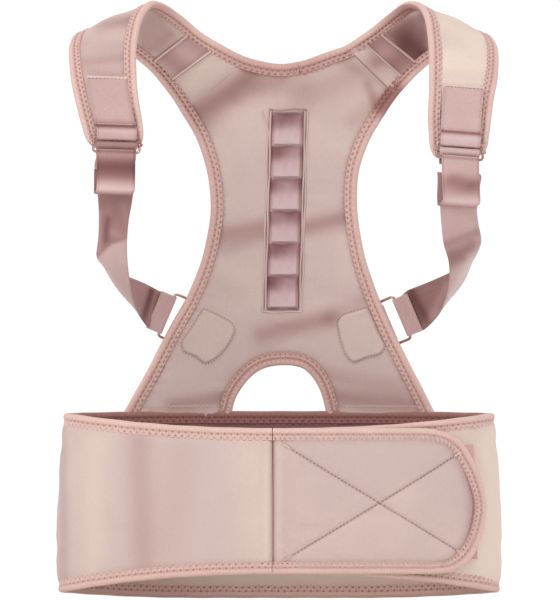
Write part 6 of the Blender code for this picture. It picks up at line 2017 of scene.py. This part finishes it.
def build_tab_fabric():
    cell = 1.35
    flat = np.stack(np.meshgrid(np.arange(TAB_START - 0.4, TAB_OUTLINE[:, 0].max() + cell, cell),
                                np.arange(16, 142, cell), indexing="ij"), -1)
    s, z = flat[..., 0], flat[..., 1]
    distance, along = near_polyline(flat, TAB_LINE)
    outline = np.vstack([TAB_LINE, [[TAB_START - 3, TAB_LINE[-1, 1]],
                                    [TAB_START - 3, TAB_LINE[0, 1]]]])
    inside = inside_polygon(flat, outline) & (distance > 4.6)
    cross = [np.array([(loop_s(x), height) for x, height in ends]) for ends in TAB_CROSS]
    from_cross = np.minimum(*(near_polyline(flat, line)[0] for line in cross))

    # the cloth is pinned under the binding, the cross and the seam
    coarse = (slice(None, None, 3), slice(None, None, 3))
    sparse = flat[coarse]
    pins = (~inside[coarse] | (distance[coarse] < 10.5) | (from_cross[coarse] < 2.2)
            | (sparse[..., 0] < TAB_START + 3))
    grid = tab_point(sparse)
    puff = refine(relax(grid, pins, 0.9, grow=0.012, most=1.3), *s.shape)
    flip = np.sign(grid_normals(grid)[8, 12] @ belt_normal(sparse[8, 12, 0]))
    from_edge = distance / end_stretch(s)
    puff = puff * flip * np.clip((from_edge - 10) / 5, 0, 1)

    quilt = 0.75 * (1 - bell(from_cross, 0, 7.0)) - 0.95 * bell(from_cross, 0, 1.2)
    from_seam = s - TAB_START
    past_start = np.clip(from_seam, 0, None)
    lip = -1.4 * bell(past_start, 0, 1.6) + 0.5 * bell(from_seam, 4, 2.4)
    wrinkle = 0.16 * np.sin(s / 6.0 + z / 15.0) * np.sin(z / 8.0)
    level = TAB_THICK / 2 + edge_puckers(from_edge, along, 0.9, 1.7, 0.34, 2.2)
    right_end = smoothstep(120, 150, belt_point(s, z, 0)[..., 0])
    # painted shade in the dip at the seam, along the binding and towards the rounded end, with a
    # painted highlight beside the seam; groove is painted shade in the quilting lines, inside the
    # rounded end's binding and in the seam; the face under the tab gets painted shade
    tone = (-0.13 * bell(past_start, 0, 1.3) + 0.03 * bell(from_seam, 5, 3)
            - 0.06 * fade(from_edge, 9.9, 1.6) - 0.018 - 0.08 * right_end * bell(from_edge, 11, 5))
    end_line = smoothstep(TAB_TIP - 60, TAB_TIP - 14, s) * bell(from_edge, 10.1, 0.8)
    groove = 0.30 * bell(from_cross, 0, 0.8) + 0.5 * end_line + 0.75 * bell(past_start, 0, 0.55)
    normal = belt_normal(s)
    middle = tab_point(flat)
    outer = middle + normal * (level + puff * 0.7 + quilt + lip + wrinkle)[..., None]
    piece = Piece()
    piece.masked(whole_cells(inside), outer, middle - normal * (level * 0.9)[..., None], flat,
                 tone, np.clip(groove, 0, 0.9), -0.05, 0.0)
    for start, end in cross:
        line = np.linspace(start, end, 90)
        running(piece, tab_point(line, TAB_THICK / 2 - 0.62), belt_normal(line[:, 0]), 3.3, 0.56,
                0.50, mat=2, rise=0.32)
        # bar tacks where the lines meet the binding
        for tack in (line[:5], line[-5:]):
            spots = tab_point(np.linspace(tack[0], tack[-1], 8), TAB_THICK / 2 + 0.1)
            zigzag(piece, spots, UP, belt_normal(tack[0, 0]), 1.2, 2.6, 0.28)
    piece.bend("closure_tab_fabric", ["body", "thread", "thread_dark"], TAB_HINGE, "closure_tab")


def build_tab_binding():
    line = smoothed(tab_point(TAB_LINE), 2)
    normal = belt_normal(TAB_LINE[:, 0])
    tangent = unit(np.gradient(line, axis=0))
    centre = tab_point(np.array([loop_s(80), 77.5]))
    inward = pointing(unit(np.cross(normal, tangent)), centre - line)
    normal = pointing(unit(np.cross(tangent, inward)), normal)
    piece = Piece()
    # slight painted shade, more on the face under the tab
    binding(piece, line, inward, normal, thick=5.0, shade=-0.01, shade_in=-0.05,
            stretch=end_stretch(TAB_LINE[:, 0]))
    piece.bend("closure_tab_edge", ["binding", "thread"], TAB_HINGE, "tab_binding")


def build_hook_pad():
    """The hook pad under the tab, with its rows of small hooks."""
    tangent = unit(np.gradient(TAB_OUTLINE, axis=0))
    outline = TAB_OUTLINE - (BINDING + 3) * np.stack([-tangent[:, 1], tangent[:, 0]], 1)
    outline[0, 0] = outline[-1, 0] = TAB_START
    flat = np.stack(np.meshgrid(np.arange(loop_s(62), outline[:, 0].max(), 1.6),
                                np.arange(30, 126, 1.6), indexing="ij"), -1)
    line = even(outline, 1.5)
    inside = inside_polygon(flat, line) & (near_polyline(flat, line)[0] > 0.6)
    s, z = flat[..., 0], flat[..., 1]
    out = TAB_STANDOFF + 0.4
    under = out - PAD_THICK
    piece = Piece()
    # a slight painted shade
    piece.masked(whole_cells(inside), belt_point(s, z, out), belt_point(s, z, under + 0.2), flat,
                 -0.02)
    surrounded = (inside[1:-1, 1:-1] & inside[2:, 1:-1] & inside[1:-1, 2:] & inside[:-2, 1:-1]
                  & inside[1:-1, :-2])
    s, z = flat[1:-1, 1:-1][surrounded][::2].T
    piece.stitches(belt_point(s, z, under + 0.35), belt_point(s + 0.5, z, under - 0.55), UP,
                   radius=0.28, rise=0.25, mat=0)
    piece.ride("hook_pad_moulded", ["hook"], "closure_tab", "hook_pad")


def dress_magnets():
    """The magnets keep their CAD solids inside the pockets."""
    for name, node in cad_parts.items():
        if name.startswith("magnet_"):
            node.data.materials.clear()
            node.data.materials.append(MATERIALS["magnet"])


# ================================================================ floor, light and camera (metres)
def build_floor():
    reach, level = 3.0, -0.0012
    mesh = bpy.data.meshes.new("floor")
    corners = [(-reach, -reach), (reach, -reach), (reach, reach), (-reach, reach)]
    mesh.from_pydata([(x, y, level) for x, y in corners], [], [(0, 1, 2, 3)])
    floor = bpy.data.objects.new("floor", mesh)
    scene.collection.objects.link(floor)
    s = Shader("pale_floor")
    color = s.mix(s.noise(3.0, 2.0), linear(240, 239, 238), linear(246, 245, 244))
    mesh.materials.append(s.finish(color, 0.75))


def build_world():
    """A pale surround, a little brighter to the camera than as a light."""
    world = bpy.data.worlds.new("pale")
    scene.world = world
    world.use_nodes = True
    tree = world.node_tree
    background = tree.nodes["Background"]
    rays = tree.nodes.new("ShaderNodeLightPath")
    strength = tree.nodes.new("ShaderNodeMix")
    strength.data_type = "FLOAT"
    tree.links.new(rays.outputs["Is Camera Ray"], strength.inputs[0])
    strength.inputs[2].default_value = 0.89     # as a light
    strength.inputs[3].default_value = 1.05     # to the camera
    tree.links.new(strength.outputs[0], background.inputs["Strength"])
    background.inputs["Color"].default_value = (1.0, 0.995, 0.99, 1)


def add_area_light(name, place, target, size, power, color=(1, 1, 1)):
    light = bpy.data.lights.new(name, "AREA")
    light.shape = "DISK"
    light.size = size
    light.energy = power
    light.color = color
    obj = bpy.data.objects.new(name, light)
    scene.collection.objects.link(obj)
    obj.location = place
    obj.rotation_euler = (Vector(target) - Vector(place)).to_track_quat("-Z", "Y").to_euler()


def build_lights():
    add_area_light("key", place=(-0.95, -1.35, 1.45), target=(0, 0, 0.25), size=0.55, power=9.0,
                   color=(1, 0.985, 0.965))
    add_area_light("fill", place=(1.5, -1.7, 0.5), target=(0, 0, 0.22), size=1.2, power=3.0,
                   color=(0.985, 0.99, 1))
    add_area_light("rim", place=(0.3, 1.6, 1.3), target=(0, 0, 0.25), size=1.0, power=5.0)


def build_camera():
    """A level orthographic view from the front."""
    data = bpy.data.cameras.new("camera")
    data.type = "ORTHO"
    data.ortho_scale = 0.480
    data.clip_end = 20
    camera = bpy.data.objects.new("camera", data)
    scene.collection.objects.link(camera)
    camera.location = (0.0008, -3.0, 0.2384)
    camera.rotation_euler = (math.pi / 2, 0, 0)
    scene.camera = camera
    scene.view_settings.view_transform = "Standard"
    scene.view_settings.look = "None"


# ================================================================ build everything
on_panel = build_back_panel()
for side in SIDES:
    build_edge_binding(side)
build_arch_binding()
build_spine_tape()
for side in SIDES:
    build_strap_patch(side)
for side in SIDES:
    yoke_length = build_yoke_fabric(side)
    build_cross_tape(side, yoke_length)
for side in SIDES:
    strap, ring = StrapLine(side), ring_frame(side)
    build_webbing_patch(side, strap)
    build_slider(side, strap)
    build_strap(side, strap, ring)
    build_tail(side, strap)
    build_ring(side, ring)
    build_anchor_tab(side, ring)
build_belt_back()
build_wing("left", -SIDE_S - WING_TURN, SEAM_S - 0.2)
build_wing("right", loop_s(WING_RIGHT_END_X), SIDE_S + WING_TURN)
build_loop_pad()
build_tab_fabric()
build_tab_binding()
build_hook_pad()
dress_magnets()

build_floor()
build_world()
build_lights()
build_camera()
